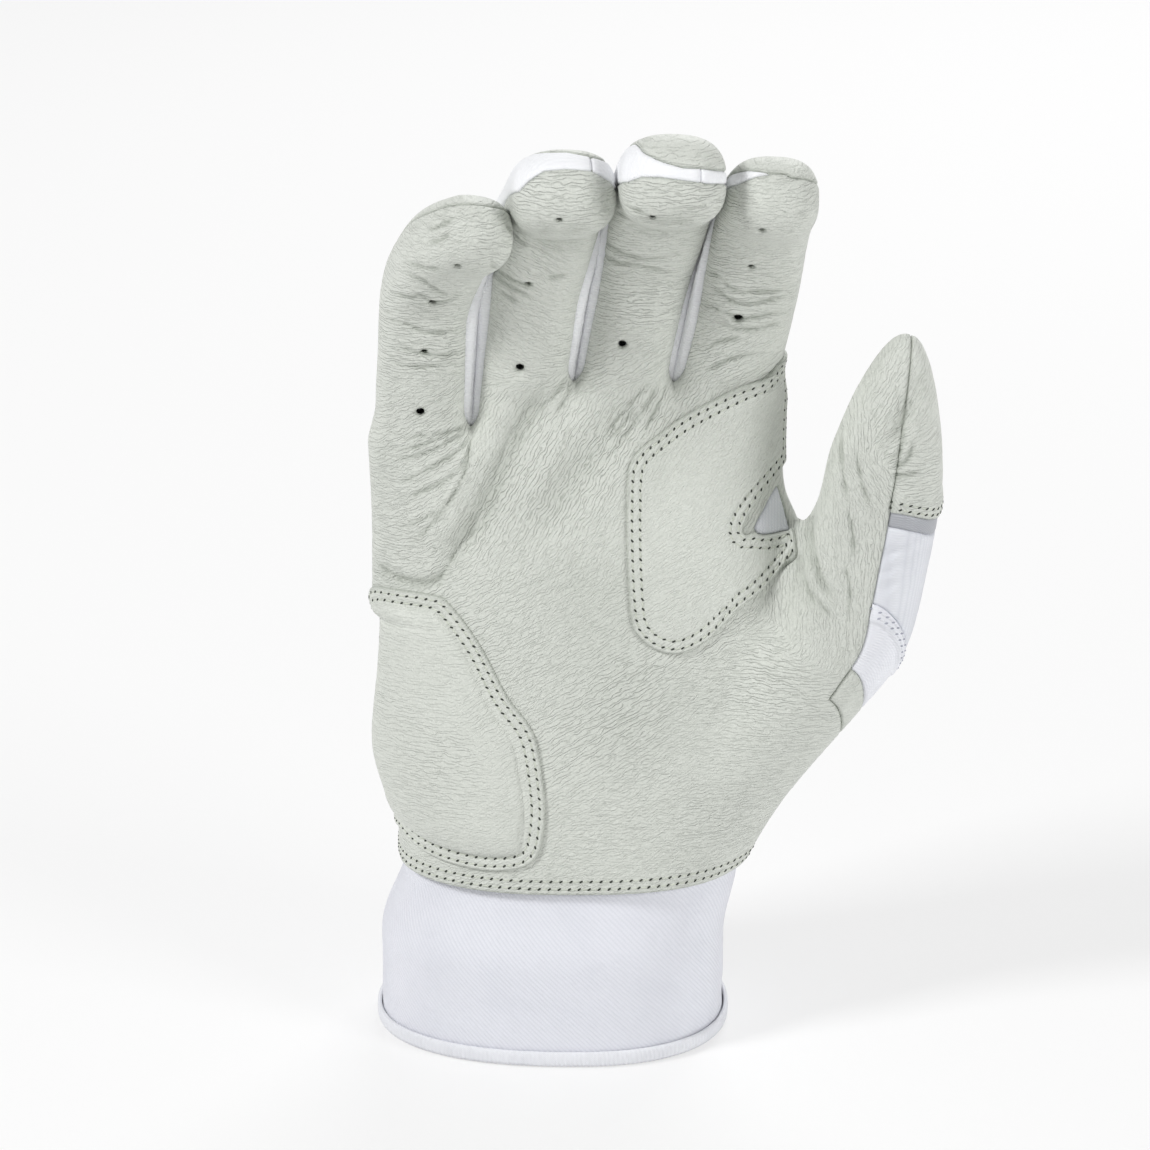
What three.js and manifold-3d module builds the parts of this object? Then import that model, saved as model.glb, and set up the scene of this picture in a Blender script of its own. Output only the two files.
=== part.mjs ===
// A batting glove for the right hand, standing on its cuff as if a hand filled it.
// Millimetres. +Z runs from the cuff to the fingertips, the palm faces -Y and the thumb points to +X.
import * as THREE from 'three';
import { mergeVertices } from 'three/addons/utils/BufferGeometryUtils.js';
import Module from 'manifold-3d';

const wasm = await Module();
wasm.setup();

// Driving dimensions: the thickness of each material, and the clearances between pieces.
const leather = 1.3;
const cuffFabric = 1.8;
const gussetFabric = 1.0;
const strapFabric = 1.8;
const hookAndLoop = 1.0;
const seam = 0.3;
const layerGap = 0.3;
const overrun = 6;

// The hand that the glove fits.
const hemHeight = 42;
const palmHeight = 116;
const littleCrotchDrop = 11;
const middleX = 8.6;
const slits = { littleRing: 0.5, ringMiddle: 0.7, middleIndex: 1.0 };
const handDepth = 32;
const thumbRoot = { x: 28.5, y: -5.2, z: 49.8 };
const fingerY = 1;
const fingerRootHeight = 106;

// Each digit: bone lengths, how far each bone leans to the palm and to the thumb side (degrees),
// and the width and depth along it as shares of its own width and depth.
const little = {
  length: 115, boneShares: [0.365, 0.287, 0.174, 0.174], leans: [0, 13, 44, 60], sides: [0, 2, 16, 29],
  width: 21.2, widthShares: [1, 1, 0.97, 0.9, 0.8], depth: 21.2, depthShares: [0.9, 1, 0.93, 0.87, 0.77],
};
const ring = {
  length: 126, boneShares: [0.381, 0.256, 0.198, 0.165], leans: [0, 14, 34, 62], sides: [1, 6.5, 10, 10],
  width: 21.2, widthShares: [1, 0.98, 1, 1.06, 1.12], depth: 22, depthShares: [0.9, 1, 0.94, 0.96, 1],
};
const middle = {
  length: 137, boneShares: [0.38, 0.256, 0.2, 0.164], leans: [0, 13, 40, 66], sides: [2, 10, 8, 6],
  width: 20.8, widthShares: [1, 0.98, 1.03, 1.1, 1.12], depth: 22.8, depthShares: [0.95, 1, 0.93, 0.94, 0.96],
};
const index = {
  length: 124, boneShares: [0.419, 0.226, 0.194, 0.161], leans: [0, 20, 30, 62], sides: [3, 10, 7, 7],
  width: 23, widthShares: [1, 0.99, 0.97, 0.92, 0.87], depth: 22.8, depthShares: [0.92, 1, 0.9, 0.85, 0.78],
};
const thumb = {
  length: 141, boneShares: [0.443, 0.213, 0.344], leans: [5, 11, 14], sides: [33.4, 10, 5],
  width: 25, widthShares: [0.7, 1, 0.98, 0.82], depth: 28, depthShares: [0.68, 1, 0.96, 0.76],
  rolls: [-60, -82, -88, -88],
};
const fingertipCap = 9;
const thumbtipCap = 26;
const boneSoftness = 8;
const squareness = 2.6;
const boxStep = 7;
const palmSquareness = 2.4;
const cuffSquareness = 2.3;
const capRoundness = 2.2;

middle.root = { x: middleX, y: fingerY, z: fingerRootHeight };
ring.root = { ...middle.root, x: middleX - (middle.width + ring.width) / 2 - slits.ringMiddle };
little.root = { ...middle.root, x: ring.root.x - (ring.width + little.width) / 2 - slits.littleRing };
index.root = { ...middle.root, x: middleX + (middle.width + index.width) / 2 + slits.middleIndex };
thumb.root = thumbRoot;
const fingers = [little, ring, middle, index];
for (const finger of fingers) finger.cap = fingertipCap;
thumb.cap = thumbtipCap;

// The palm's reach to the little finger side, the thumb side, the palm and the back, from hem to crotch.
const reachLeft = little.width / 2 - little.root.x;
const reachRight = index.width / 2 + index.root.x;
const palmHeightShares = [0, 0.07, 0.17, 0.29, 0.46, 0.66, 0.8, 1];
const leftReachShares = [0.92, 0.93, 0.98, 1.02, 1.0, 1.0, 0.99, 0.98];
const rightReachShares = [0.93, 0.99, 1.05, 1.12, 1.22, 1.22, 1.08, 1.01];
const frontReachShares = [0.89, 0.86, 0.8, 0.71, 0.6, 0.46, 0.36, 0.27];
const backReachShares = [0.93, 0.87, 0.76, 0.68, 0.6, 0.57, 0.5, 0.37];

// The cuff below the hem.
const cuff = { left: 45.3, right: 34.8, front: 31, back: 31, tuck: 6, tuckGap: 0.6, flareFrom: 22 };
const binding = { height: 4, fabric: 0.9 };
const slit = { from: 98, to: 120, rise: 20, width: 4 };
const gusset = { from: 86, to: 132, rise: 26 };
const strap = { root: 150, end: 44, low: 7, high: 37, lift: 26 };
const strapEnd = { roundShare: 0.14, flatShare: 0.82 };
const strapRoot = { thickness: 0.35, lengthShare: 0.05 };
const patchTape = { from: 52, to: 84, margin: 3 };
const pullTab = { from: 62, margin: 4, fabric: 1.4 };

// Where the panels meet: the fabric strip along the side of each finger, and the seam round the hand.
const strip = { low: -5.4, tipLow: -1.8, high: 4.8 };
const stripNarrowing = { fromShare: 0.56, overShare: 0.24 };
const tipJoinShare = 0.35;
const stripEndShares = { little: 0.93, index: 0.97 };
const sideSeam = fingerY + strip.high + seam;
const knuckleLine = 118;
const fingerBackRise = 3;
const webDepth = 3.2;
const thumbSeam = 0.8;
const thumbShares = { tab: 0.342, base: 0.4, stretch: 0.53, stripe: 0.687, cap: 0.715 };

const outerSides = { digit: 16, palm: 32 };
const liningSides = { digit: 12, palm: 26 };
const cuffSteps = 32;
const rad = THREE.MathUtils.degToRad;
const ease = (t) => THREE.MathUtils.smoothstep(t, 0, 1);
const mix = THREE.MathUtils.lerp;

/** A smooth curve of one value through the given marks. */
function through(marks, values) {
  const last = marks.length - 1;
  return (t) => {
    let k = 0;
    while (k < last - 1 && t > marks[k + 1]) k += 1;
    const slope = (i) => {
      const a = Math.max(i - 1, 0);
      const b = Math.min(i + 1, last);
      return (values[b] - values[a]) / (marks[b] - marks[a]);
    };
    const span = marks[k + 1] - marks[k];
    const u = Math.min(Math.max((t - marks[k]) / span, 0), 1);
    const w = ease(u);
    const bend = u * (1 - u);
    return mix(values[k], values[k + 1], w) + span * bend * ((1 - u) * slope(k) - u * slope(k + 1));
  };
}

/** Makes a solid of a list of points and a list of triangles. */
function solidOf(points, triangles) {
  const mesh = new wasm.Mesh({
    numProp: 3,
    vertProperties: Float32Array.from(points.flatMap((p) => [p.x, p.y, p.z])),
    triVerts: Uint32Array.from(triangles.flat()),
  });
  return new wasm.Manifold(mesh);
}

/** Makes a solid of a closed three.js geometry. */
function solidOfGeometry(geometry) {
  const bare = geometry.clone();
  bare.deleteAttribute('normal');
  bare.deleteAttribute('uv');
  const merged = mergeVertices(bare);
  return new wasm.Manifold(new wasm.Mesh({
    numProp: 3,
    vertProperties: Float32Array.from(merged.attributes.position.array),
    triVerts: Uint32Array.from(merged.index.array),
  }));
}

/** Joins rings of equally many points, each turning left seen from the last ring, into a closed solid. */
function loft(rings) {
  const n = rings[0].length;
  const points = rings.flat();
  const triangles = [];
  for (let i = 0; i + 1 < rings.length; i += 1) {
    for (let j = 0; j < n; j += 1) {
      const a = i * n + j;
      const b = i * n + (j + 1) % n;
      triangles.push([a, b, b + n], [a, b + n, a + n]);
    }
  }
  const middleOf = (r) => r.reduce((sum, p) => sum.add(p), new THREE.Vector3()).divideScalar(n);
  const first = points.push(middleOf(rings[0])) - 1;
  const last = points.push(middleOf(rings.at(-1))) - 1;
  const top = (rings.length - 1) * n;
  for (let j = 0; j < n; j += 1) {
    triangles.push([first, (j + 1) % n, j], [last, top + j, top + (j + 1) % n]);
  }
  return solidOf(points, triangles);
}

/** Joins columns of a thick wall, each with as many outer as inner points, into a closed solid. */
function wall(columns) {
  const n = columns[0].outer.length;
  const points = columns.flatMap((column) => [...column.outer, ...column.inner]);
  const at = (i, k, inner) => i * 2 * n + (inner ? n : 0) + k;
  const triangles = [];
  const quad = (a, b, c, d) => triangles.push([a, b, c], [a, c, d]);
  const last = columns.length - 1;
  for (let i = 0; i < last; i += 1) {
    for (let k = 0; k + 1 < n; k += 1) {
      quad(at(i, k), at(i + 1, k), at(i + 1, k + 1), at(i, k + 1));
      quad(at(i, k, true), at(i, k + 1, true), at(i + 1, k + 1, true), at(i + 1, k, true));
    }
    quad(at(i, 0, true), at(i + 1, 0, true), at(i + 1, 0), at(i, 0));
    quad(at(i, n - 1), at(i + 1, n - 1), at(i + 1, n - 1, true), at(i, n - 1, true));
  }
  for (let k = 0; k + 1 < n; k += 1) {
    quad(at(0, k), at(0, k + 1), at(0, k + 1, true), at(0, k, true));
    quad(at(last, k, true), at(last, k + 1, true), at(last, k + 1), at(last, k));
  }
  return solidOf(points, triangles);
}

/** Joins two facing sheets, laid out as rings round a centre, into a closed pad. */
function pad(ringShares, count, pointAt) {
  const points = [];
  const triangles = [];
  const layers = [0, 1];
  const size = 1 + ringShares.length * count;
  for (const layer of layers) {
    points.push(pointAt(0, 0, layer));
    for (const share of ringShares) {
      for (let j = 0; j < count; j += 1) points.push(pointAt(share, j, layer));
    }
  }
  const add = (layer, a, b, c) => {
    const base = layer * size;
    triangles.push(layer ? [base + a, base + c, base + b] : [base + a, base + b, base + c]);
  };
  for (let j = 0; j < count; j += 1) {
    const next = (j + 1) % count;
    for (const layer of layers) {
      add(layer, 0, 1 + j, 1 + next);
      for (let r = 0; r + 1 < ringShares.length; r += 1) {
        const a = 1 + r * count;
        add(layer, a + j, a + count + j, a + count + next);
        add(layer, a + j, a + count + next, a + next);
      }
    }
    const rim = 1 + (ringShares.length - 1) * count;
    triangles.push([rim + j, size + rim + next, rim + next], [rim + j, size + rim + j, size + rim + next]);
  }
  return solidOf(points, triangles);
}

/** Follows a digit's bones from its root: the place and the three directions at each length. */
function bonesOf(digit) {
  const marks = [0];
  for (const share of digit.boneShares) marks.push(marks.at(-1) + share * digit.length);
  const turned = (values, s) => marks.slice(1, -1).reduce((angle, mark, i) => {
    const bend = ease((s - mark + boneSoftness) / (2 * boneSoftness));
    return angle + (values[i + 1] - values[i]) * bend;
  }, values[0]);
  const directionAt = (s) => {
    const lean = rad(turned(digit.leans, s));
    const side = rad(turned(digit.sides, s));
    const upright = Math.cos(side);
    return new THREE.Vector3(Math.sin(side), -Math.sin(lean) * upright, Math.cos(lean) * upright);
  };
  const steps = 100;
  const step = digit.length / steps;
  const places = [new THREE.Vector3(digit.root.x, digit.root.y, digit.root.z)];
  for (let i = 0; i < steps; i += 1) {
    places.push(places.at(-1).clone().addScaledVector(directionAt((i + 0.5) * step), step));
  }
  const widthAt = through(marks, digit.widthShares);
  const depthAt = through(marks, digit.depthShares);
  const rollAt = through(marks, digit.rolls ?? marks.map(() => 0));
  return (s) => {
    const k = Math.min(Math.max(Math.floor(s / step), 0), steps);
    const along = directionAt(s);
    const place = places[k].clone().addScaledVector(along, s - k * step);
    const level = new THREE.Vector3(1, 0, 0).addScaledVector(along, -along.x).normalize();
    const roll = rad(rollAt(s));
    const across = level.clone().applyAxisAngle(along, roll);
    const back = new THREE.Vector3().crossVectors(along, across);
    const halfWidth = digit.width / 2 * widthAt(s);
    const halfDepth = digit.depth / 2 * depthAt(s);
    return { place, across, back, halfWidth, halfDepth };
  };
}

/** A superellipse's two coordinates at a heading, for a reach of one. */
function roundSquare(heading, power) {
  const c = Math.cos(heading);
  const s = Math.sin(heading);
  return [Math.sign(c) * Math.abs(c) ** (2 / power), Math.sign(s) * Math.abs(s) ** (2 / power)];
}

/** A digit as a closed solid, drawn out or in by an offset. */
function digitSolid(digit, offset, count = outerSides.digit) {
  const bones = bonesOf(digit);
  const length = digit.length + offset;
  const body = 9;
  const tip = 4;
  const stations = [];
  for (let i = 0; i <= body; i += 1) stations.push({ s: (length - digit.cap) * i / body, cap: 0 });
  for (let i = 1; i < tip; i += 1) {
    const cap = Math.sin(Math.PI / 2 * i / tip);
    stations.push({ s: length - digit.cap * (1 - cap), cap });
  }
  return loft(stations.map(({ s, cap }) => {
    const { place, across, back, halfWidth, halfDepth } = bones(s);
    const round = Math.sqrt(1 - cap ** capRoundness);
    return Array.from({ length: count }, (_, j) => {
      const [u, v] = roundSquare(2 * Math.PI * j / count, squareness);
      return place.clone()
        .addScaledVector(across, u * round * (halfWidth + offset))
        .addScaledVector(back, v * round * (halfDepth + offset));
    });
  }));
}

/** The space round a digit between two lengths, two widths and two depths, of which the low one may vary. */
function digitBox(digit, { start, end, left, right, low, high, lowAt = () => low }) {
  const bones = bonesOf(digit);
  const spare = 0.1;
  const lengths = [start];
  const first = Math.ceil(start / boxStep + spare);
  for (let k = first; k < end / boxStep - spare; k += 1) lengths.push(k * boxStep);
  lengths.push(end);
  return loft(lengths.map((s) => {
    const { place, across, back } = bones(s);
    const corners = [[left, lowAt(s)], [right, lowAt(s)], [right, high], [left, high]];
    return corners.map(([u, v]) => place.clone().addScaledVector(across, u).addScaledVector(back, v));
  }));
}

/** The height of the finger crotches at a place across the hand. */
function crotchHeight(x) {
  const drop = littleCrotchDrop * ease((ring.root.x - x) / ring.width + 0.5);
  return hemHeight + palmHeight - drop;
}

/** The palm's reach in the four directions at a share of its height. */
const reachCurves = [
  through(palmHeightShares, rightReachShares.map((share) => share * reachRight)),
  through(palmHeightShares, leftReachShares.map((share) => share * reachLeft)),
  through(palmHeightShares, backReachShares.map((share) => share * handDepth)),
  through(palmHeightShares, frontReachShares.map((share) => share * handDepth)),
];

/** A point on an oval with its own reach in each direction. */
function ovalPoint([right, left, back, front], heading, offset, z, power) {
  const [c, s] = roundSquare(heading, power);
  const x = c * ((c > 0 ? right : left) + offset);
  const y = s * ((s > 0 ? back : front) + offset);
  return new THREE.Vector3(x, y, z);
}

/** A point on the palm's wall at a heading and a share of its height. */
function palmPoint(heading, share, offset) {
  const reach = reachCurves.map((curve) => curve(share));
  const point = ovalPoint(reach, heading, offset, 0, palmSquareness);
  point.z = hemHeight + share * (crotchHeight(point.x) - hemHeight);
  return point;
}

/** The palm as a closed solid, drawn out or in by an offset, and open past the hem where asked. */
function palmSolid(offset, openDown, count = outerSides.palm) {
  const rows = 12;
  const rings = [];
  for (let i = 0; i <= rows; i += 1) {
    const row = Array.from({ length: count }, (_, j) => palmPoint(2 * Math.PI * j / count, i / rows, offset));
    const rise = i === rows ? offset : 0;
    for (const point of row) point.z += rise;
    rings.push(row);
  }
  if (openDown) rings.unshift(rings[0].map((p) => new THREE.Vector3(p.x, p.y, p.z - overrun)));
  return loft(rings);
}

/** Everything that the hand fills, drawn out or in by an offset. */
function handSolid(offset, openDown, sides = outerSides) {
  return [...fingers, thumb].reduce(
    (all, digit) => all.add(digitSolid(digit, offset, sides.digit)),
    palmSolid(offset, openDown, sides.palm),
  );
}

/** A box between two corners. */
function block(low, high) {
  const size = new THREE.Vector3().subVectors(high, low);
  const geometry = new THREE.BoxGeometry(size.x, size.y, size.z);
  const centre = new THREE.Vector3().addVectors(low, high).multiplyScalar(0.5);
  geometry.translate(centre.x, centre.y, centre.z);
  return solidOfGeometry(geometry);
}

/** A prism along Y of a smooth outline given across and up the hand, drawn out by an offset. */
function outlinePrism(outline, from, to, offset = 0) {
  const marks = outline.map(([x, z]) => new THREE.Vector3(x, z, 0));
  const curve = new THREE.CatmullRomCurve3(marks, true, 'centripetal');
  const points = curve.getPoints(outline.length * 3).slice(1).map((p) => new THREE.Vector2(p.x, p.y));
  if (THREE.ShapeUtils.area(points) < 0) points.reverse();
  const moved = points.map((point, i) => {
    const before = points.at(i - 1);
    const after = points[(i + 1) % points.length];
    const along = new THREE.Vector2().subVectors(after, before).normalize();
    return new THREE.Vector2(point.x + along.y * offset, point.y - along.x * offset);
  });
  const shape = new THREE.Shape(moved);
  const geometry = new THREE.ExtrudeGeometry(shape, { depth: to - from, bevelEnabled: false });
  geometry.rotateX(Math.PI / 2);
  geometry.translate(0, to, 0);
  return solidOfGeometry(geometry);
}

/** The largest connected part of a solid. */
function mainBody(solid) {
  return solid.decompose().reduce((best, part) => (part.volume() > best.volume() ? part : best));
}

const joined = (solids) => solids.reduce((all, solid) => all.add(solid));
const reach = 2 * handDepth;
const hand = handSolid(0, false);
const shell = hand.subtract(handSolid(-leather, true, liningSides));

/** The strips of fabric along a finger's side, with the web at the crotch. */
function sideStrip(finger, side, grow) {
  const half = finger.width / 2 + overrun / 2;
  const join = tipJoinShare * finger.width / 2;
  const crotch = crotchHeight(finger.root.x + side * finger.width / 2) - finger.root.z;
  const name = finger === little ? 'little' : 'index';
  const whole = finger === ring || finger === middle;
  const end = whole ? finger.length + overrun : stripEndShares[name] * finger.length;
  const edge = whole ? join : 0;
  const limits = side > 0
    ? { left: edge + seam - grow, right: half }
    : { left: -half, right: (whole ? edge : -seam) + grow };
  const lowAt = (s) => {
    const narrowing = ease((s / finger.length - stripNarrowing.fromShare) / stripNarrowing.overShare);
    return mix(strip.low, strip.tipLow, narrowing) - grow;
  };
  const box = digitBox(finger, { start: crotch, end: end + grow, ...limits, lowAt, high: strip.high + grow });
  return box.intersect(digitSolid(finger, layerGap / 2));
}

/** The fabric fork between two neighbouring fingers. */
function forkRegion(left, right, grow) {
  const x = (left.root.x + left.width / 2 + right.root.x - right.width / 2) / 2;
  const z = crotchHeight(x);
  const web = block(
    new THREE.Vector3(x - webDepth - grow, fingerY + strip.low - grow, z - webDepth - grow),
    new THREE.Vector3(x + webDepth + grow, fingerY + strip.high + grow, z + webDepth),
  );
  return joined([sideStrip(left, 1, grow), sideStrip(right, -1, grow), web]);
}

/** The back of one finger above the knuckle panel. */
function fingerBackRegion(finger, grow) {
  const start = crotchHeight(finger.root.x) + fingerBackRise + seam - finger.root.z;
  const half = finger.width / 2 + overrun / 2;
  const box = digitBox(finger, {
    start: start - grow, end: finger.length + overrun, left: -half, right: half,
    low: strip.high + seam - grow, high: finger.depth / 2 + overrun / 2,
  });
  return box.intersect(digitSolid(finger, layerGap / 2));
}

/** The band over the knuckles, from the back panel to the finger backs. */
function knuckleRegion(grow) {
  const low = new THREE.Vector3(-reach, sideSeam - grow, knuckleLine + seam);
  const band = block(low, new THREE.Vector3(reach, reach, hemHeight + palmHeight + fingerBackRise));
  const little0 = crotchHeight(little.root.x) + fingerBackRise;
  const step = (little.root.x + ring.root.x) / 2;
  const above = block(
    new THREE.Vector3(-reach, -reach, little0),
    new THREE.Vector3(step, reach, hemHeight + palmHeight + 2 * overrun),
  );
  return band.subtract(above);
}

/** A length of the thumb's back, from one share of the thumb to another. */
function thumbRegion(from, to, grow) {
  const half = thumb.width / 2 + layerGap + grow;
  const back = digitBox(thumb, {
    start: 0, end: thumb.length + overrun, left: -half, right: half, low: thumbSeam - grow, high: thumb.depth,
  });
  const wide = thumb.depth + overrun;
  const length = digitBox(thumb, {
    start: from * thumb.length + (from > thumbShares.tab ? seam : 0) - grow,
    end: to === 1 ? thumb.length + overrun / 2 : to * thumb.length,
    left: -wide,
    right: wide,
    low: -wide,
    high: wide,
  });
  return back.intersect(length);
}

// The gusset in the web between the thumb and the first finger.
const webShares = [
  [0.95, 0.715], [1.0, 0.75], [1.08, 0.79], [1.2, 0.8], [1.28, 0.76], [1.28, 0.71], [1.15, 0.7], [1.0, 0.7],
];
const webOutline = webShares.map(([a, b]) => [a * reachRight, hemHeight + b * palmHeight]);
const webPrism = (grow) => outlinePrism(webOutline, -reach, sideSeam - 2 * seam + grow, grow);

const solids = {};
const forks = [
  ['little_ring_fork', little, ring],
  ['ring_middle_fork', ring, middle],
  ['middle_index_fork', middle, index],
];
for (const [name, left, right] of forks) {
  solids[name] = mainBody(shell.intersect(forkRegion(left, right, 0)));
}
const forkCuts = joined(forks.map(([, left, right]) => forkRegion(left, right, seam)));

const backs = [
  ['little_back', little], ['ring_back', ring], ['middle_back', middle], ['index_back', index],
];
for (const [name, finger] of backs) {
  solids[name] = mainBody(shell.intersect(fingerBackRegion(finger, 0)).subtract(forkCuts));
}
const backCuts = joined(backs.map(([, finger]) => fingerBackRegion(finger, seam)));

const thumbCut = thumbRegion(thumbShares.tab, 1, seam);
const knuckles = knuckleRegion(0);
const knuckleCut = knuckleRegion(seam);
solids.knuckle_band = mainBody(shell.intersect(knuckles).subtract(forkCuts).subtract(backCuts));

// The back panel is open at the wrist slit.
const backBox = (grow) => block(
  new THREE.Vector3(-reach, sideSeam - grow, hemHeight - overrun),
  new THREE.Vector3(reach, reach, knuckleLine + grow),
);
const slitHeading = rad((slit.from + slit.to) / 2);
const slitX = palmPoint(slitHeading, 0, 0).x;
const slitCut = block(
  new THREE.Vector3(slitX - slit.width / 2, 0, hemHeight - overrun),
  new THREE.Vector3(slitX + slit.width / 2, reach, hemHeight + slit.rise),
);
solids.back_panel = mainBody(shell.intersect(backBox(0)).subtract(thumbCut).subtract(slitCut));

const thumbPanels = [
  ['thumb_tab', thumbShares.tab, thumbShares.base],
  ['thumb_base_panel', thumbShares.base, thumbShares.stretch],
  ['thumb_stretch_panel', thumbShares.stretch, thumbShares.stripe],
  ['thumb_stripe', thumbShares.stripe, thumbShares.cap],
  ['thumb_cap', thumbShares.cap, 1],
];
for (const [name, from, to] of thumbPanels) {
  solids[name] = mainBody(shell.intersect(thumbRegion(from, to, 0)));
}

solids.web_gusset = mainBody(shell.intersect(webPrism(0)).subtract(thumbCut));
solids.palm_leather = mainBody(
  shell.subtract(joined([forkCuts, backCuts, thumbCut, knuckleCut, backBox(seam), webPrism(seam)])),
);

// The grip patch lies on the palm below the first finger.
const patchShares = [
  [1.2, 1.08], [1.02, 1.03], [0.87, 1.01], [0.66, 0.968], [0.45, 0.912], [0.343, 0.883], [0.29, 0.853],
  [0.274, 0.813], [0.274, 0.68], [0.295, 0.549], [0.34, 0.512], [0.42, 0.488], [0.527, 0.477], [0.63, 0.486],
  [0.735, 0.51], [0.868, 0.56], [0.972, 0.586], [1.088, 0.626], [1.17, 0.66], [1.16, 0.7], [0.975, 0.709],
  [0.893, 0.707], [0.893, 0.731], [0.972, 0.778], [1.077, 0.822], [1.2, 0.87],
];
const patchDepth = -1.8;
const patchOutline = patchShares.map(([a, b]) => [a * reachRight, hemHeight + b * palmHeight]);
const patchSkin = handSolid(layerGap + leather, false).subtract(handSolid(layerGap, true));
solids.palm_patch = mainBody(patchSkin.intersect(outlinePrism(patchOutline, -reach, fingerY + patchDepth)));

// The heel patch and the foam under it follow the palm's wall, inside one outline of headings and heights.
const heelShares = [
  [0.03, 0.1], [0.02, 0.3], [0.02, 0.5], [0.04, 0.61], [0.22, 0.645], [0.5, 0.645], [0.6, 0.62],
  [0.72, 0.54], [0.82, 0.42], [0.9, 0.335], [0.925, 0.24], [0.925, 0.14], [0.885, 0.07], [0.74, 0.05],
  [0.46, 0.06], [0.2, 0.085],
];
const heelCentreShares = [0.48, 0.3];
const heelCount = 32;
const heelPoints = heelShares.map(([a, b]) => new THREE.Vector3(a, b, 0));
const heelCurve = new THREE.CatmullRomCurve3(heelPoints, true, 'centripetal');
const heelEdge = heelCurve.getSpacedPoints(heelCount).slice(1);
const heelPad = { crown: 3, edgeShare: 0.84, seamShare: 0.02, sideShare: 0.4 };
const heelPadRings = [0.35, 0.65, 0.85, 0.95, 1];
const heelPatchRings = [0.3, 0.55, 0.72, 0.8, 0.84, 0.92, 1];
const heelAt = (share, j, offset) => {
  const across = mix(heelCentreShares[0], heelEdge[j].x, share);
  const up = mix(heelCentreShares[1], heelEdge[j].y, share);
  return palmPoint(Math.PI * (1 + across / 2), up, offset);
};
const crownAt = (share, j) => {
  const across = mix(heelCentreShares[0], heelEdge[j].x, share);
  const dome = Math.sqrt(Math.max(1 - (share / heelPad.edgeShare) ** 4, 0));
  return heelPad.crown * dome * ease(across / heelPad.sideShare);
};
solids.heel_pad = pad(heelPadRings, heelCount, (share, j, layer) => {
  const inner = share * heelPad.edgeShare;
  return heelAt(inner, j, layerGap + layer * (leather / 2 + crownAt(inner, j)));
});
const heelRise = (share, j) => {
  const overPad = share < heelPad.edgeShare + heelPad.seamShare;
  return overPad ? leather / 2 + crownAt(share, j) + layerGap : 0;
};
solids.heel_patch = pad(heelPatchRings, heelCount, (share, j, layer) => (
  heelAt(share, j, layerGap + heelRise(share, j) + layer * leather)
));

/** A point on the cuff's outer wall at a heading and height, drawn out or in by an offset. */
function cuffPoint(heading, z, offset) {
  const flare = [cuff.right, cuff.left, cuff.back, cuff.front];
  const share = Math.max((z - hemHeight) / palmHeight, 0);
  const tucked = reachCurves.map((curve) => curve(share) - leather - cuff.tuckGap);
  const t = ease((z - cuff.flareFrom) / (hemHeight - cuff.flareFrom));
  return ovalPoint(flare.map((value, i) => mix(value, tucked[i], t)), heading, offset, z, cuffSquareness);
}

/** A wall that follows the cuff from one heading to another, with a path of heights and offsets at each. */
function cuffWall(from, to, steps, pathAt) {
  return wall(Array.from({ length: steps + 1 }, (_, i) => {
    const heading = rad(mix(from, to, i / steps));
    const { outer, inner } = pathAt(i / steps);
    const place = ([z, offset]) => cuffPoint(heading, z, offset);
    return { outer: outer.map(place), inner: inner.map(place) };
  }));
}

const cuffHeights = (low, high, rows) => Array.from({ length: rows + 1 }, (_, k) => mix(low, high, k / rows));
const fullTurn = 360;
const around = { from: slit.to, to: slit.from + fullTurn };
const bandLow = binding.fabric + layerGap;
const bandRows = cuffHeights(bandLow, hemHeight + cuff.tuck, 6);
solids.cuff_band = cuffWall(around.from, around.to, cuffSteps, () => ({
  outer: bandRows.map((z) => [z, 0]),
  inner: bandRows.map((z) => [z, -cuffFabric]),
}));
const outside = layerGap + binding.fabric;
const insideFace = -cuffFabric - layerGap;
const inside = insideFace - binding.fabric;
solids.cuff_binding = cuffWall(around.from, around.to, cuffSteps, () => ({
  outer: [[binding.height, inside], [0, inside], [0, outside], [binding.height, outside]],
  inner: [
    [binding.height, insideFace],
    [binding.fabric, insideFace],
    [binding.fabric, layerGap],
    [binding.height, layerGap],
  ],
}));
const gussetRows = cuffHeights(binding.height + layerGap, hemHeight + gusset.rise, 6);
solids.wrist_gusset = cuffWall(gusset.from, gusset.to, 10, () => ({
  outer: gussetRows.map((z) => [z, insideFace]),
  inner: gussetRows.map((z) => [z, insideFace - gussetFabric]),
}));

// The closure strap hinges where it is sewn to the cuff, closes over the slit and grips the loop tape.
const strapLift = 3 * layerGap + 2 * hookAndLoop;
const strapSpan = strap.root - strap.end;
const strapOffset = (t) => layerGap + (strapLift - layerGap) * ease(t * strapSpan / strap.lift);
const strapEndRound = (t) => {
  const inRound = Math.min(Math.max((t - 1 + strapEnd.roundShare) / strapEnd.roundShare, 0), 1);
  return Math.sqrt(1 - strapEnd.flatShare * inRound ** 2);
};
const strapWall = (from, to, steps, low, high, insideAt, outsideAt) => cuffWall(from, to, steps, (t) => {
  const heading = mix(from, to, t);
  const along = (strap.root - heading) / strapSpan;
  const middleHeight = (low + high) / 2;
  const half = (high - low) / 2 * strapEndRound(along);
  const rows = cuffHeights(middleHeight - half, middleHeight + half, 4);
  return { outer: rows.map((z) => [z, outsideAt(along)]), inner: rows.map((z) => [z, insideAt(along)]) };
});
const strapThickness = (t) => mix(strapRoot.thickness, strapFabric, Math.min(t / strapRoot.lengthShare, 1));
const strapOutside = (t) => strapOffset(t) + strapThickness(t);
solids.closure_strap = strapWall(strap.end, strap.root, 28, strap.low, strap.high, strapOffset, strapOutside);

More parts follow.
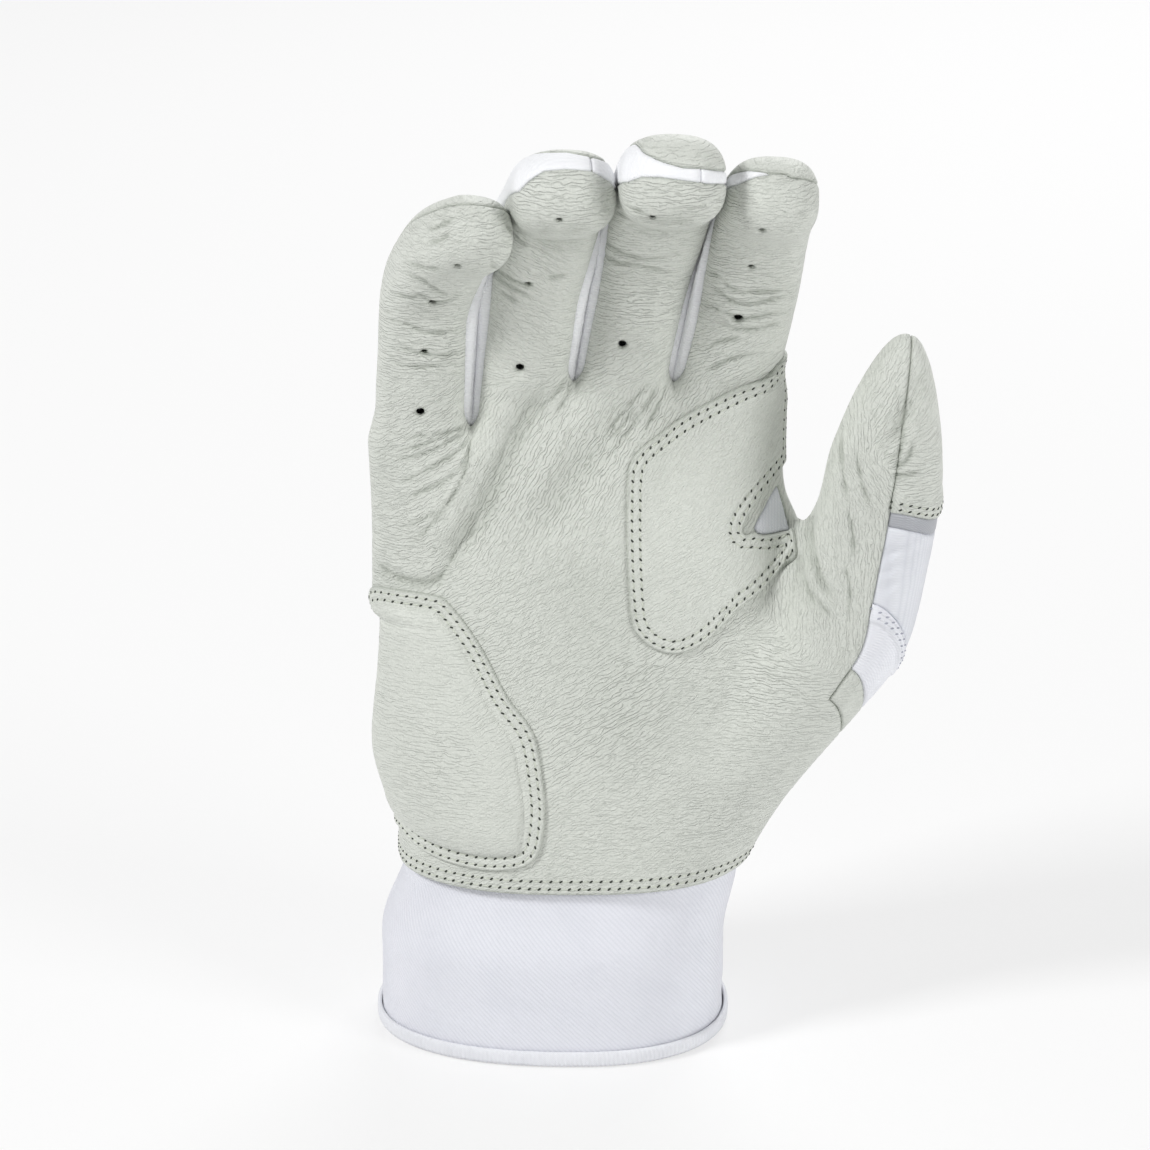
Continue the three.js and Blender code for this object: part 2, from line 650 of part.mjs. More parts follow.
const tapeRows = cuffHeights(strap.low + patchTape.margin, strap.high - patchTape.margin, 4);
const tape = (offset) => cuffWall(patchTape.from, patchTape.to, 12, () => ({
  outer: tapeRows.map((z) => [z, offset + hookAndLoop]),
  inner: tapeRows.map((z) => [z, offset]),
}));
solids.loop_patch = tape(layerGap);
solids.hook_patch = tape(2 * layerGap + hookAndLoop);

const tabInside = (t) => strapOutside(t) + layerGap;
solids.pull_tab = strapWall(
  strap.end, pullTab.from, 8, strap.low + pullTab.margin, strap.high - pullTab.margin,
  tabInside, (t) => tabInside(t) + pullTab.fabric,
);

// The colour and roughness of each material, and the material of each piece.
const finishes = {
  leather: { color: 0xd9ddd1, roughness: 0.62 },
  fabric: { color: 0xe9eaee, roughness: 0.9 },
  stripe: { color: 0xb4b6b9, roughness: 0.55 },
  foam: { color: 0xdadada, roughness: 0.95 },
  tape: { color: 0xd8d9dc, roughness: 1 },
  rubber: { color: 0xc9cbce, roughness: 0.5 },
};
const materialOf = {
  palm_leather: 'leather',
  palm_patch: 'leather',
  heel_patch: 'leather',
  thumb_cap: 'leather',
  thumb_tab: 'leather',
  little_back: 'leather',
  ring_back: 'leather',
  middle_back: 'leather',
  index_back: 'leather',
  little_ring_fork: 'fabric',
  ring_middle_fork: 'fabric',
  middle_index_fork: 'fabric',
  web_gusset: 'fabric',
  knuckle_band: 'fabric',
  back_panel: 'fabric',
  thumb_base_panel: 'fabric',
  thumb_stretch_panel: 'fabric',
  cuff_band: 'fabric',
  cuff_binding: 'fabric',
  wrist_gusset: 'fabric',
  closure_strap: 'fabric',
  thumb_stripe: 'stripe',
  heel_pad: 'foam',
  loop_patch: 'tape',
  hook_patch: 'tape',
  pull_tab: 'rubber',
};

/** A named three.js mesh of one solid. */
function meshOf(name, solid) {
  const { vertProperties, triVerts } = solid.getMesh();
  const geometry = new THREE.BufferGeometry();
  geometry.setAttribute('position', new THREE.BufferAttribute(vertProperties, 3));
  geometry.setIndex(new THREE.BufferAttribute(triVerts, 1));
  geometry.computeVertexNormals();
  const material = new THREE.MeshStandardMaterial({ ...finishes[materialOf[name]], metalness: 0 });
  const mesh = new THREE.Mesh(geometry, material);
  mesh.name = name;
  return mesh;
}

const glove = new THREE.Group();
for (const [name, solid] of Object.entries(solids)) glove.add(meshOf(name, solid));
const extent = new THREE.Box3().setFromObject(glove);
glove.position.set(-(extent.min.x + extent.max.x) / 2, -(extent.min.y + extent.max.y) / 2, -extent.min.z);

export default glove;
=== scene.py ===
"""A right-hand batting glove of pale sheepskin and white fabric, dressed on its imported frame.

Sizes are millimetres in the hand's own frame: +Z from cuff to fingertips, the palm to -Y, the thumb to +X.
"""

import logging
import math
from dataclasses import dataclass, field
from enum import Enum
from itertools import combinations, product
from typing import Callable, Sequence

import bmesh
import bpy
import numpy as np
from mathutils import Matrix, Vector
from mathutils.kdtree import KDTree


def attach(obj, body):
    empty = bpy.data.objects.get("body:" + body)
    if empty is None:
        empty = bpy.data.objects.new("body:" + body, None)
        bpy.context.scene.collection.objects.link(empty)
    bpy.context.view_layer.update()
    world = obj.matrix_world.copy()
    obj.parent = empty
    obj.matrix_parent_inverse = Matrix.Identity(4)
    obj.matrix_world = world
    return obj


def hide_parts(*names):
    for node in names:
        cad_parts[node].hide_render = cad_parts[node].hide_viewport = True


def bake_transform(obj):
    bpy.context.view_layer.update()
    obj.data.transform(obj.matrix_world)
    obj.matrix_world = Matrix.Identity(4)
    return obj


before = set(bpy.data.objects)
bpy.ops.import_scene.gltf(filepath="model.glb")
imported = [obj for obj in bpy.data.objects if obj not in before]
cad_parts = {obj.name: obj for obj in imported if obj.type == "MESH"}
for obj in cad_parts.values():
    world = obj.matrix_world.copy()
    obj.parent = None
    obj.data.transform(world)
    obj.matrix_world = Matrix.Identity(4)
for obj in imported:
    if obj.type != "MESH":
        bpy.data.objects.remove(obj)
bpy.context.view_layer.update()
log = logging.getLogger("glove")

Array = np.ndarray
Point = tuple[float, float]
Material = bpy.types.Material
Object = bpy.types.Object
Socket = bpy.types.NodeSocket
MM = 0.001
# The shift from the hand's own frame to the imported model's, in millimetres.
HAND_TO_FRAME = np.array((-16.9498, 5.2327, 0.0))
# A distance in millimetres that stands for nowhere near.
FAR = 30.0
# Faces that meet at a sharper angle than this, in degrees, keep a sharp edge.
SHARP = 55


class Body(Enum):
    """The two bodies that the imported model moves."""

    GLOVE = "glove"
    STRAP = "strap"


def ease(t: Array) -> Array:
    """Smooth step from 0 to 1."""
    t = np.clip(t, 0.0, 1.0)
    return t * t * (3.0 - 2.0 * t)


def mix(a: Array, b: Array, t: Array) -> Array:
    """Blend from a to b by t."""
    return a + (b - a) * t


def smooth_min(a: Array, b: Array, width: float) -> Array:
    """The smaller of two distances, rounded where they meet.

    Args:
        a: First distances.
        b: Second distances.
        width: How far apart two distances still round each other.

    Returns:
        The joined distances.
    """
    h = np.maximum(width - np.abs(a - b), 0.0) / width
    return np.minimum(a, b) - h * h * width * 0.25


def curve_through(marks: Sequence[float], values: Sequence[float]) -> Callable[[Array], Array]:
    """A smooth curve of one value through marks.

    Args:
        marks: Rising positions.
        values: The value at each mark.

    Returns:
        A function that gives the value anywhere, held flat past both ends.
    """
    m, v = np.asarray(marks, float), np.asarray(values, float)
    last = len(m) - 1
    low, high = np.maximum(np.arange(last + 1) - 1, 0), np.minimum(np.arange(last + 1) + 1, last)
    slope = (v[high] - v[low]) / (m[high] - m[low])

    def at(t: Array) -> Array:
        """The value at t.

        Args:
            t: The parameters at which the curve is read.

        Returns:
            The curve's values, one for each t.
        """
        t = np.asarray(t, float)
        k = np.clip(np.searchsorted(m, t, side="left") - 1, 0, last - 1)
        span = m[k + 1] - m[k]
        u = np.clip((t - m[k]) / span, 0.0, 1.0)
        bend = u * (1.0 - u)
        return mix(v[k], v[k + 1], ease(u)) + span * bend * ((1.0 - u) * slope[k] - u * slope[k + 1])

    return at


def lattice(cell: Array, seed: int) -> Array:
    """A fixed pseudo-random value from -1 to 1 for each integer cell.

    Args:
        cell: Integer cells, three to a row.
        seed: Chooses the pattern.

    Returns:
        One value for each row.
    """
    n = cell[..., 0] * 374761393 + cell[..., 1] * 668265263 + cell[..., 2] * 2147483647 + seed * 144665
    n = (n ^ (n >> 13)) * 1274126177
    n = n ^ (n >> 16)
    return (n & 0xFFFF) / 32767.5 - 1.0


def noise(points: Array, seed: int) -> Array:
    """Smooth noise with cells of one unit.

    Args:
        points: Places, three to a row.
        seed: Chooses the pattern.

    Returns:
        A value from about -1 to 1 for each place.
    """
    cell = np.floor(points).astype(np.int64)
    f = points - cell
    w = f * f * f * (f * (f * 6.0 - 15.0) + 10.0)
    total = np.zeros(len(points))
    for corner in product((0, 1), repeat=3):
        share = np.prod(np.where(corner, w, 1 - w), axis=1)
        total += share * lattice(cell + np.array(corner), seed)
    return total


def folds_of(points: Array, seed: int) -> Array:
    """Sharp valleys between soft rounds, as creased leather has.

    Args:
        points: Places in units of one fold.
        seed: Chooses the pattern.

    Returns:
        Depths from 0 on the rounds to 1 in a valley.
    """
    finer, finer_share, apart, half_width = 2.1, 0.45, 7.3, 0.55
    n = noise(points, seed) + finer_share * noise(points * finer + apart, seed + 1)
    return (1.0 - np.clip(np.abs(n) / half_width, 0.0, 1.0)) ** 2


def path_distance(points: Array, path: Array) -> tuple[Array, Array]:
    """How far flat points lie from a path.

    Args:
        points: Flat places, two to a row.
        path: The path's corners, two to a row.

    Returns:
        The distance, and the share of the path's length at the nearest place.
    """
    legs = np.diff(path, axis=0)
    lengths = np.hypot(legs[:, 0], legs[:, 1])
    before = np.concatenate(([0.0], np.cumsum(lengths)))
    best = np.full(len(points), 1e9)
    share = np.zeros(len(points))
    for start, leg, length, done in zip(path[:-1], legs, lengths, before):
        t = np.clip(((points - start) @ leg) / max(length * length, 1e-9), 0.0, 1.0)
        d = np.hypot(*(points - start - t[:, None] * leg).T)
        nearer = d < best
        best[nearer] = d[nearer]
        share[nearer] = (done + t[nearer] * length) / before[-1]
    return best, share


def smooth_path(marks: Sequence[Point], closed: bool = False, steps: int = 8) -> Array:
    """A rounded path through marks.

    Args:
        marks: The places that it passes.
        closed: Whether its end joins its start.
        steps: Points for each leg.

    Returns:
        The path's points, two to a row.
    """
    p = np.asarray(marks, float)
    n = len(p)
    ids = np.arange(n if closed else n - 1)
    around = (lambda i: i % n) if closed else (lambda i: np.clip(i, 0, n - 1))
    a, b, c, d = (p[around(ids + k)] for k in (-1, 0, 1, 2))
    t = np.linspace(0, 1, steps, endpoint=False)[None, :, None]
    a, b, c, d = (q[:, None, :] for q in (a, b, c, d))
    curve = 0.5 * (2 * b + (c - a) * t + (2 * a - 5 * b + 4 * c - d) * t**2 + (3 * b - a - 3 * c + d) * t**3)
    out = curve.reshape(-1, 2)
    return np.vstack([out, out[:1] if closed else p[-1:]])


def outline_distance(points: Array, outline: Array) -> Array:
    """Distance inside a closed outline, negative outside.

    Args:
        points: Flat places, two to a row.
        outline: A closed path whose last point is its first.

    Returns:
        The distance for each place.
    """
    d, _ = path_distance(points, outline)
    inside = np.zeros(len(points), bool)
    for (x0, y0), (x1, y1) in zip(outline[:-1], outline[1:]):
        crosses = (y0 > points[:, 1]) != (y1 > points[:, 1])
        slant = (x1 - x0) / (y1 - y0) if y1 != y0 else 0.0
        inside ^= crosses & (points[:, 0] < x0 + slant * (points[:, 1] - y0))
    return np.where(inside, d, -d)


@dataclass(frozen=True)
class Digit:
    """One finger or thumb: bone lengths, their leans, and widths and depths along them."""

    length: float
    bone_shares: tuple[float, ...]
    leans: tuple[float, ...]
    sides: tuple[float, ...]
    width: float
    width_shares: tuple[float, ...]
    depth: float
    depth_shares: tuple[float, ...]
    root: tuple[float, float, float]
    cap: float = 9.0
    rolls: tuple[float, ...] | None = None
    roundness: float = 2.2


class Bones:
    """The line through the middle of a digit, kept as tables along its length."""

    softness = 8.0
    squareness = 2.6
    step = 0.5
    before = 24.0
    beyond = 20.0

    def __init__(self, digit: Digit) -> None:
        """Follows the digit's bones.

        Args:
            digit: The digit to follow.
        """
        self.digit = digit
        self.root = np.array(digit.root)
        marks = np.concatenate(([0.0], np.cumsum(digit.bone_shares))) * digit.length
        s = np.arange(-self.before, digit.length + self.beyond, self.step)
        middle = s + self.step / 2
        places = np.vstack([np.zeros(3), np.cumsum(self._direction(middle, marks) * self.step, axis=0)[:-1]])
        places += self.root - places[int(round(self.before / self.step))]
        along = self._direction(s, marks)
        level = np.array((1.0, 0.0, 0.0)) - along * along[:, :1]
        level /= np.linalg.norm(level, axis=1, keepdims=True)
        roll = np.radians(curve_through(marks, digit.rolls)(s) if digit.rolls else np.zeros_like(s))[:, None]
        across = level * np.cos(roll) + np.cross(along, level) * np.sin(roll)
        back = np.cross(along, across)
        half_width = digit.width / 2 * curve_through(marks, digit.width_shares)(s)
        half_depth = digit.depth / 2 * curve_through(marks, digit.depth_shares)(s)
        self.lengths = s
        self.table = np.hstack([places, along, across, back, half_width[:, None], half_depth[:, None]])
        self.chord = places[-1] - self.root
        self.chord /= np.linalg.norm(self.chord)
        self.chord_marks = (places - self.root) @ self.chord

    def _direction(self, s: Array, marks: Array) -> Array:
        """The bone's direction at lengths s, softened at each joint.

        Args:
            s: Lengths along the bone.
            marks: The lengths of its joints.

        Returns:
            One direction for each length.
        """
        lean = np.full_like(s, self.digit.leans[0])
        side = np.full_like(s, self.digit.sides[0])
        for i, mark in enumerate(marks[1:-1]):
            bend = ease((s - mark + self.softness) / (2 * self.softness))
            lean += (self.digit.leans[i + 1] - self.digit.leans[i]) * bend
            side += (self.digit.sides[i + 1] - self.digit.sides[i]) * bend
        lean, side = np.radians(lean), np.radians(side)
        return np.stack([np.sin(side), -np.sin(lean) * np.cos(side), np.cos(lean) * np.cos(side)], axis=1)

    def sample(self, s: Array, columns: slice) -> Array:
        """The tables' rows at lengths s.

        Args:
            s: Lengths along the digit.
            columns: The columns that are wanted.

        Returns:
            One row for each length.
        """
        at = np.clip((s - self.lengths[0]) / self.step, 0, len(self.lengths) - 1.001)
        i = at.astype(np.int64)
        f = (at - i)[:, None]
        return self.table[i, columns] * (1 - f) + self.table[i + 1, columns] * f

    def locate(self, points: Array) -> tuple[Array, Array, Array, Array]:
        """Places points on the digit.

        Args:
            points: Places, three to a row.

        Returns:
            The length along the digit, the way across it, the way to its back, and the distance to its skin.
        """
        s = np.interp((points - self.root) @ self.chord, self.chord_marks, self.lengths)
        low, high = self.lengths[0], self.lengths[-1]
        for _ in range(5):
            row = self.sample(s, slice(0, 6))
            s = np.clip(s + np.einsum("ij,ij->i", points - row[:, :3], row[:, 3:]), low, high)
        row = self.sample(s, slice(0, 14))
        away = points - row[:, :3]
        u = np.einsum("ij,ij->i", away, row[:, 6:9])
        v = np.einsum("ij,ij->i", away, row[:, 9:12])
        hw, hd = row[:, 12], row[:, 13]
        q = self.squareness
        a, b = np.abs(u) / hw, np.abs(v) / hd
        r = np.maximum((a**q + b**q) ** (1 / q), 1e-6)
        slope = r ** (1 - q) * np.hypot(a ** (q - 1) / hw, b ** (q - 1) / hd)
        t = np.maximum((s - self.digit.length + self.digit.cap) / self.digit.cap, 0.0)
        p = self.digit.roundness
        whole = np.sqrt(r * r + t**p)
        rise = p / 2 * t ** (p - 1) / (whole * self.digit.cap)
        steep = np.hypot(r / whole * slope, rise)
        d = (whole - 1.0) / np.maximum(steep, 1 / np.maximum(hw, hd))
        return s, u, v, np.maximum(d, -s)


@dataclass(frozen=True)
class Hand:
    """The hand that fills the glove: its palm's reach at each height, and its digits."""

    hem: float = 42.0
    palm_height: float = 116.0
    little_drop: float = 11.0
    depth: float = 32.0
    squareness: float = 2.4
    web: float = 5.0
    thumb_web: float = 7.0
    finger_y: float = 1.0
    height_shares: tuple[float, ...] = (0, 0.07, 0.17, 0.29, 0.46, 0.66, 0.8, 1)
    left_shares: tuple[float, ...] = (0.91, 0.91, 0.93, 1.0, 0.98, 0.955, 0.93, 0.97)
    right_shares: tuple[float, ...] = (0.93, 0.99, 1.05, 1.12, 1.22, 1.22, 1.08, 1.01)
    front_shares: tuple[float, ...] = (0.89, 0.86, 0.8, 0.71, 0.6, 0.46, 0.36, 0.27)
    back_shares: tuple[float, ...] = (0.93, 0.87, 0.76, 0.68, 0.6, 0.57, 0.5, 0.37)
    little: Digit = Digit(
        116, (0.365, 0.287, 0.174, 0.174), (0, 13, 44, 60), (0, 2, 16, 29),
        21.2, (1, 1, 0.97, 0.9, 0.8), 21.2, (0.9, 1, 0.93, 0.87, 0.77), (-34.8, 1, 106),
    )
    ring: Digit = Digit(
        124.6, (0.381, 0.256, 0.198, 0.165), (0, 14, 30, 70), (1, 6.5, 10, 10),
        21.2, (1, 0.98, 1, 1.06, 1.12), 22, (0.9, 1, 0.93, 0.9, 0.86), (-13.1, 1, 106),
    )
    middle: Digit = Digit(
        133.5, (0.38, 0.256, 0.2, 0.164), (0, 13, 40, 72), (2, 10, 8, 6),
        20.8, (1, 0.98, 1.03, 1.1, 1.12), 22.8, (0.95, 1, 0.93, 0.91, 0.89), (8.6, 1, 106),
    )
    index: Digit = Digit(
        122.2, (0.419, 0.226, 0.194, 0.161), (0, 20, 30, 62), (3, 10, 7, 7),
        23, (1, 0.99, 0.97, 0.92, 0.87), 22.8, (0.92, 1, 0.9, 0.85, 0.78), (31.5, 1, 106),
    )
    thumb: Digit = Digit(
        139.5, (0.443, 0.213, 0.344), (5, 11, 14), (33.7, 10.5, 6.5),
        25, (0.7, 1, 0.99, 0.92), 28, (0.68, 1, 0.96, 0.84), (28.5, -5.2, 49.8),
        cap=36, rolls=(-60, -82, -88, -88), roundness=1.3,
    )

    @property
    def digits(self) -> tuple[Digit, ...]:
        """The fingers from the little one on, then the thumb."""
        return (self.little, self.ring, self.middle, self.index, self.thumb)

    @property
    def reach_left(self) -> float:
        """The palm's reach to the little finger side."""
        return self.little.width / 2 - self.little.root[0]

    @property
    def reach_right(self) -> float:
        """The palm's reach to the thumb side."""
        return self.index.width / 2 + self.index.root[0]

    def crotch(self, x: Array) -> Array:
        """The height of the finger crotches at x."""
        drop = self.little_drop * ease((self.ring.root[0] - x) / self.ring.width + 0.5)
        return self.hem + self.palm_height - drop

    def reaches(self, share: Array) -> tuple[Array, Array, Array, Array]:
        """The palm's reach right, left, back and front at a share of its height."""
        marks = self.height_shares
        return (
            curve_through(marks, self.right_shares)(share) * self.reach_right,
            curve_through(marks, self.left_shares)(share) * self.reach_left,
            curve_through(marks, self.back_shares)(share) * self.depth,
            curve_through(marks, self.front_shares)(share) * self.depth,
        )

    def palm(self, points: Array) -> tuple[Array, Array, Array]:
        """Places points on the palm.

        Args:
            points: Places, three to a row.

        Returns:
            The share of the palm's height, the heading round it in radians, and the distance to its skin.
        """
        x, y, z = points.T
        top = self.crotch(x)
        share = (z - self.hem) / (top - self.hem)
        right, left, back, front = self.reaches(np.clip(share, 0, 1))
        rx, ry = np.where(x > 0, right, left), np.where(y > 0, back, front)
        p = self.squareness
        a, b = np.abs(x) / rx, np.abs(y) / ry
        r = np.maximum((a**p + b**p) ** (1 / p), 1e-6)
        slope = r ** (1 - p) * np.hypot(a ** (p - 1) / rx, b ** (p - 1) / ry)
        d = (r - 1.0) / np.maximum(slope, 1 / ry)
        heading = np.arctan2(np.sign(y) * b ** (p / 2), np.sign(x) * a ** (p / 2))
        return share, heading, -smooth_min(-d, top - z, 6.0)


class HandForm:
    """Measures the hand: the distance of any place from its skin."""

    margin = 9.0
    girth = 0.6

    def __init__(self, hand: Hand) -> None:
        """Follows every digit's bones.

        Args:
            hand: The hand to measure.
        """
        self.hand = hand
        self.bones = [Bones(digit) for digit in hand.digits]

    def box(self, bones: Bones, past: float, margin: float) -> tuple[Array, Array, float]:
        """The box round a digit, and how far it stands off the digit's line.

        Args:
            bones: The digit's bones.
            past: How far the box goes past the digit's ends.
            margin: How far it stands off the digit's surface.

        Returns:
            The low and the high corner, and the distance.
        """
        places = bones.table[(bones.lengths > -past) & (bones.lengths < bones.digit.length + past), :3]
        wide = max(bones.digit.width, bones.digit.depth) * self.girth + margin
        return places.min(0) - wide, places.max(0) + wide, wide

    def near(self, index: int, points: Array) -> Array:
        """Which points lie in the box round a digit."""
        low, high, _ = self.box(self.bones[index], 2, self.margin)
        return ((points > low) & (points < high)).all(1)

    def joined(self, index: int, palm: Array, digit: Array) -> Array:
        """The distance to a digit rounded into the palm."""
        width = self.hand.thumb_web if index == 4 else self.hand.web
        return smooth_min(palm, digit, width)

    def distance(self, points: Array, owner: Array) -> Array:
        """The distance to the glove's skin.

        Args:
            points: Places, three to a row.
            owner: The digit that each place belongs to, or -1 for the nearest.

        Returns:
            The distance, negative inside.
        """
        palm = self.hand.palm(points)[2]
        best = np.where(owner < 0, palm, FAR)
        for i in range(5):
            chosen = np.flatnonzero(self.near(i, points) & ((owner < 0) | (owner == i)))
            d = self.joined(i, palm[chosen], self.bones[i].locate(points[chosen])[3])
            best[chosen] = np.minimum(best[chosen], d)
        return best

    def gradient(self, points: Array, owner: Array, reach: float = 0.35) -> Array:
        """The direction in which the distance grows fastest, with its rate.

        Args:
            points: The places.
            owner: The digit of each place, or -1 for the palm.
            reach: How far off each of the two readings is taken.

        Returns:
            One vector for each place.
        """
        out = np.zeros_like(points)
        for axis in range(3):
            step = np.zeros(3)
            step[axis] = reach
            out[:, axis] = self.distance(points + step, owner) - self.distance(points - step, owner)
        return out / (2 * reach)


@dataclass
class Skin:
    """The hand's skin as triangles, with the digit that each corner belongs to."""

    points: Array
    triangles: Array
    owner: Array


class SkinMesher:
    """Lays an even net of triangles over the hand's skin.

    Above the crotches each digit gets a net of its own, so that two that touch never grow together.
    """

    low_corner = (-54.0, -70.0)
    high_corner = (84.0, 36.0, 240.0)
    below_hem = 2.4
    own_net_from = 7.0
    palm_box = ((-50.0, -32.0), (56.0, 32.0))
    palm_above = 9.0
    chunk = 200000
    rounds = 3
    evening = 0.6
    longest_pull = 1.0

    def __init__(self, form: HandForm, step: float) -> None:
        """Sets the net's size.

        Args:
            form: The measured hand.
            step: The net's spacing.
        """
        self.form = form
        self.step = step
        self.top = form.hand.hem + form.hand.palm_height
        self.low = np.array((*self.low_corner, form.hand.hem - self.below_hem))
        self.shape = tuple(np.ceil((np.array(self.high_corner) - self.low) / step).astype(int) + 1)
        self.split = int((self.top + self.own_net_from - self.low[2]) / step)

    def _box(self, low: Array, high: Array) -> tuple[slice, slice, slice]:
        """The net's cells between two corners.

        Args:
            low: The low corner.
            high: The high corner.

        Returns:
            The cells' range along each axis.
        """
        a = np.clip(np.floor((low - self.low) / self.step).astype(int), 0, np.array(self.shape) - 1)
        b = np.clip(np.ceil((high - self.low) / self.step).astype(int) + 1, 1, np.array(self.shape))
        return tuple(slice(int(i), int(j)) for i, j in zip(a, b))

    def _places(self, box: tuple[slice, slice, slice]) -> Array:
        """The net's corners in a box."""
        axes = [self.low[i] + self.step * np.arange(box[i].start, box[i].stop) for i in range(3)]
        return np.stack(np.meshgrid(*axes, indexing="ij"), axis=-1).reshape(-1, 3)

    def mesh(self) -> Skin:
        """Builds the net, then pulls it onto the skin.

        Returns:
            The finished skin.
        """
        whole = np.full(self.shape, FAR, np.float32)
        low, high = self.palm_box
        box = self._box(np.array((*low, self.low[2])), np.array((*high, self.top + self.palm_above)))
        whole[box] = self.form.hand.palm(self._places(box))[2].reshape(whole[box].shape)
        palm = whole.copy()
        quads, keys, places = [], [], []
        cells = int(np.prod(self.shape))
        for i, bones in enumerate(self.form.bones):
            low, high, wide = self.form.box(bones, 3, 3)
            box = self._box(low, high)
            points = self._places(box)
            near = np.zeros(len(points), bool)
            rough = bones.table[::6, :3]
            for k in range(0, len(points), self.chunk):
                part = points[k : k + self.chunk]
                gap = np.min([((part - place) ** 2).sum(1) for place in rough], axis=0)
                near[k : k + self.chunk] = gap < (wide + 1.0) ** 2
            d = np.full(len(points), FAR)
            d[near] = bones.locate(points[near])[3]
            d = self.form.joined(i, palm[box].reshape(-1), d).reshape(whole[box].shape)
            whole[box] = np.minimum(whole[box], d)
            own = (box[0], box[1], slice(max(self.split - 1, box[2].start), box[2].stop))
            cut = own[2].start - box[2].start
            self._collect(d[:, :, cut:], own, i, cells, quads, keys, places)
        self._collect(whole[:, :, : self.split + 1], (slice(0, 0),) * 3, -1, cells, quads, keys, places)
        faces, all_keys, points = np.vstack(quads), np.concatenate(keys), np.vstack(places)
        order = np.argsort(all_keys)
        faces = order[np.searchsorted(all_keys[order], faces)]
        used, faces = np.unique(faces, return_inverse=True)
        faces = faces.reshape(-1, 4)
        points, owner = points[used], (all_keys[used] // cells - 1).astype(int)
        points = self._settle(points, faces, owner)
        one, other = (np.linalg.norm(points[faces[:, k]] - points[faces[:, k + 2]], axis=1) for k in (0, 1))
        short = one <= other
        halves = np.where(short[:, None], faces[:, [0, 1, 2, 0, 2, 3]], faces[:, [0, 1, 3, 1, 2, 3]])
        return Skin(points, halves.reshape(-1, 3), owner)

    def _collect(
        self, values: Array, box: tuple[slice, ...], owner: int, cells: int, *out: list[Array]
    ) -> None:
        """Adds one block's quads, and the place of each cell that the skin passes.

        Args:
            values: The distance at each corner of the block's cells.
            box: Where the block lies in the whole net.
            owner: The digit whose net this is, or -1 for the palm's.
            cells: How many cells the whole net has.
            *out: The lists that take the quads, the cells' numbers and their places.
        """
        quads, keys, places = out
        start = np.array([s.start for s in box])
        strides = np.array((self.shape[1] * self.shape[2], self.shape[2], 1))

        def key(cell: Array) -> Array:
            """The cell's number, with its owner above the split.

            Args:
                cell: The cell's place in the net, three counts to a row.

            Returns:
                One number for each cell.
            """
            at = cell + start
            above = at[:, 2] >= self.split
            return at @ strides + np.where(above, owner + 1, 0) * cells

        inside = values < 0
        found = []
        for axis in range(3):
            first = [slice(1, None)] * 3
            first[axis] = slice(0, -1)
            a, b = inside[tuple(first)], inside[1:, 1:, 1:]
            at = np.argwhere(a != b)
            outward = a[tuple(at.T)]
            at += np.arange(3) != axis
            level = at[:, 2] + start[2]
            keep = level >= self.split if owner >= 0 else level < self.split
            at, outward = at[keep], outward[keep]
            one, two = (np.eye(3, dtype=int)[(axis + k) % 3] for k in (1, 2))
            ring = [at - one - two, at - two, at, at - one]
            found.append(np.vstack(ring))
            quad = np.stack([key(cell) for cell in ring], axis=1)
            quads.append(np.where(outward[:, None], quad, quad[:, ::-1]))
        cell = np.unique(np.vstack(found), axis=0)
        above = cell[:, 2] + start[2] >= self.split
        cell = cell[above if owner >= 0 else ~above]
        corners = np.array(list(product((0, 1), repeat=3)))
        at = cell[:, None, :] + corners
        v = values[at[..., 0], at[..., 1], at[..., 2]].astype(float)
        total, count = np.zeros((len(cell), 3)), np.zeros((len(cell), 1))
        for m, n in combinations(range(8), 2):
            if np.abs(corners[m] - corners[n]).sum() == 1:
                cross = ((v[:, m] < 0) != (v[:, n] < 0))[:, None]
                t = (v[:, m] / np.where(v[:, m] == v[:, n], 1, v[:, m] - v[:, n]))[:, None]
                total += np.where(cross, mix(corners[m], corners[n], t), 0)
                count += cross
        keys.append(key(cell))
        places.append(self.low + (cell + start + total / np.maximum(count, 1)) * self.step)

    def _settle(self, points: Array, faces: Array, owner: Array) -> Array:
        """Evens the net out along the skin, and pulls it onto the skin.

        Args:
            points: The corners.
            faces: The net's faces.
            owner: The digit of each corner.

        Returns:
            The corners' new places.
        """
        edges = np.vstack([faces[:, [k, (k + 1) % 4]] for k in range(4)])
        both = np.unique(np.sort(edges, axis=1), axis=0, return_counts=True)
        rim = np.zeros(len(points), bool)
        rim[both[0][both[1] == 1]] = True
        a, b = both[0].T
        count = np.bincount(a, minlength=len(points)) + np.bincount(b, minlength=len(points))
        size = len(points)
        for _ in range(self.rounds):
            sums = [np.bincount(a, column[b], size) + np.bincount(b, column[a], size) for column in points.T]
            mean = np.stack(sums, axis=1) / np.maximum(count, 1)[:, None]
            moved = np.where(rim[:, None], points, mix(points, mean, self.evening))
            slope = self.form.gradient(moved, owner)
            steep = np.maximum((slope**2).sum(1), 0.05)
            pull = np.clip(self.form.distance(moved, owner) / steep, -self.longest_pull, self.longest_pull)
            points = moved - slope * pull[:, None]
        return points


def sides_of(triangles: Array) -> Array:
    """The three sides of every triangle, as pairs of corners."""
    return np.vstack([triangles[:, [k, (k + 1) % 3]] for k in range(3)])


def edge_keys(a: Array, b: Array, size: int) -> Array:
    """One number for each pair of corners, whichever comes first."""
    return np.minimum(a, b) * size + np.maximum(a, b)


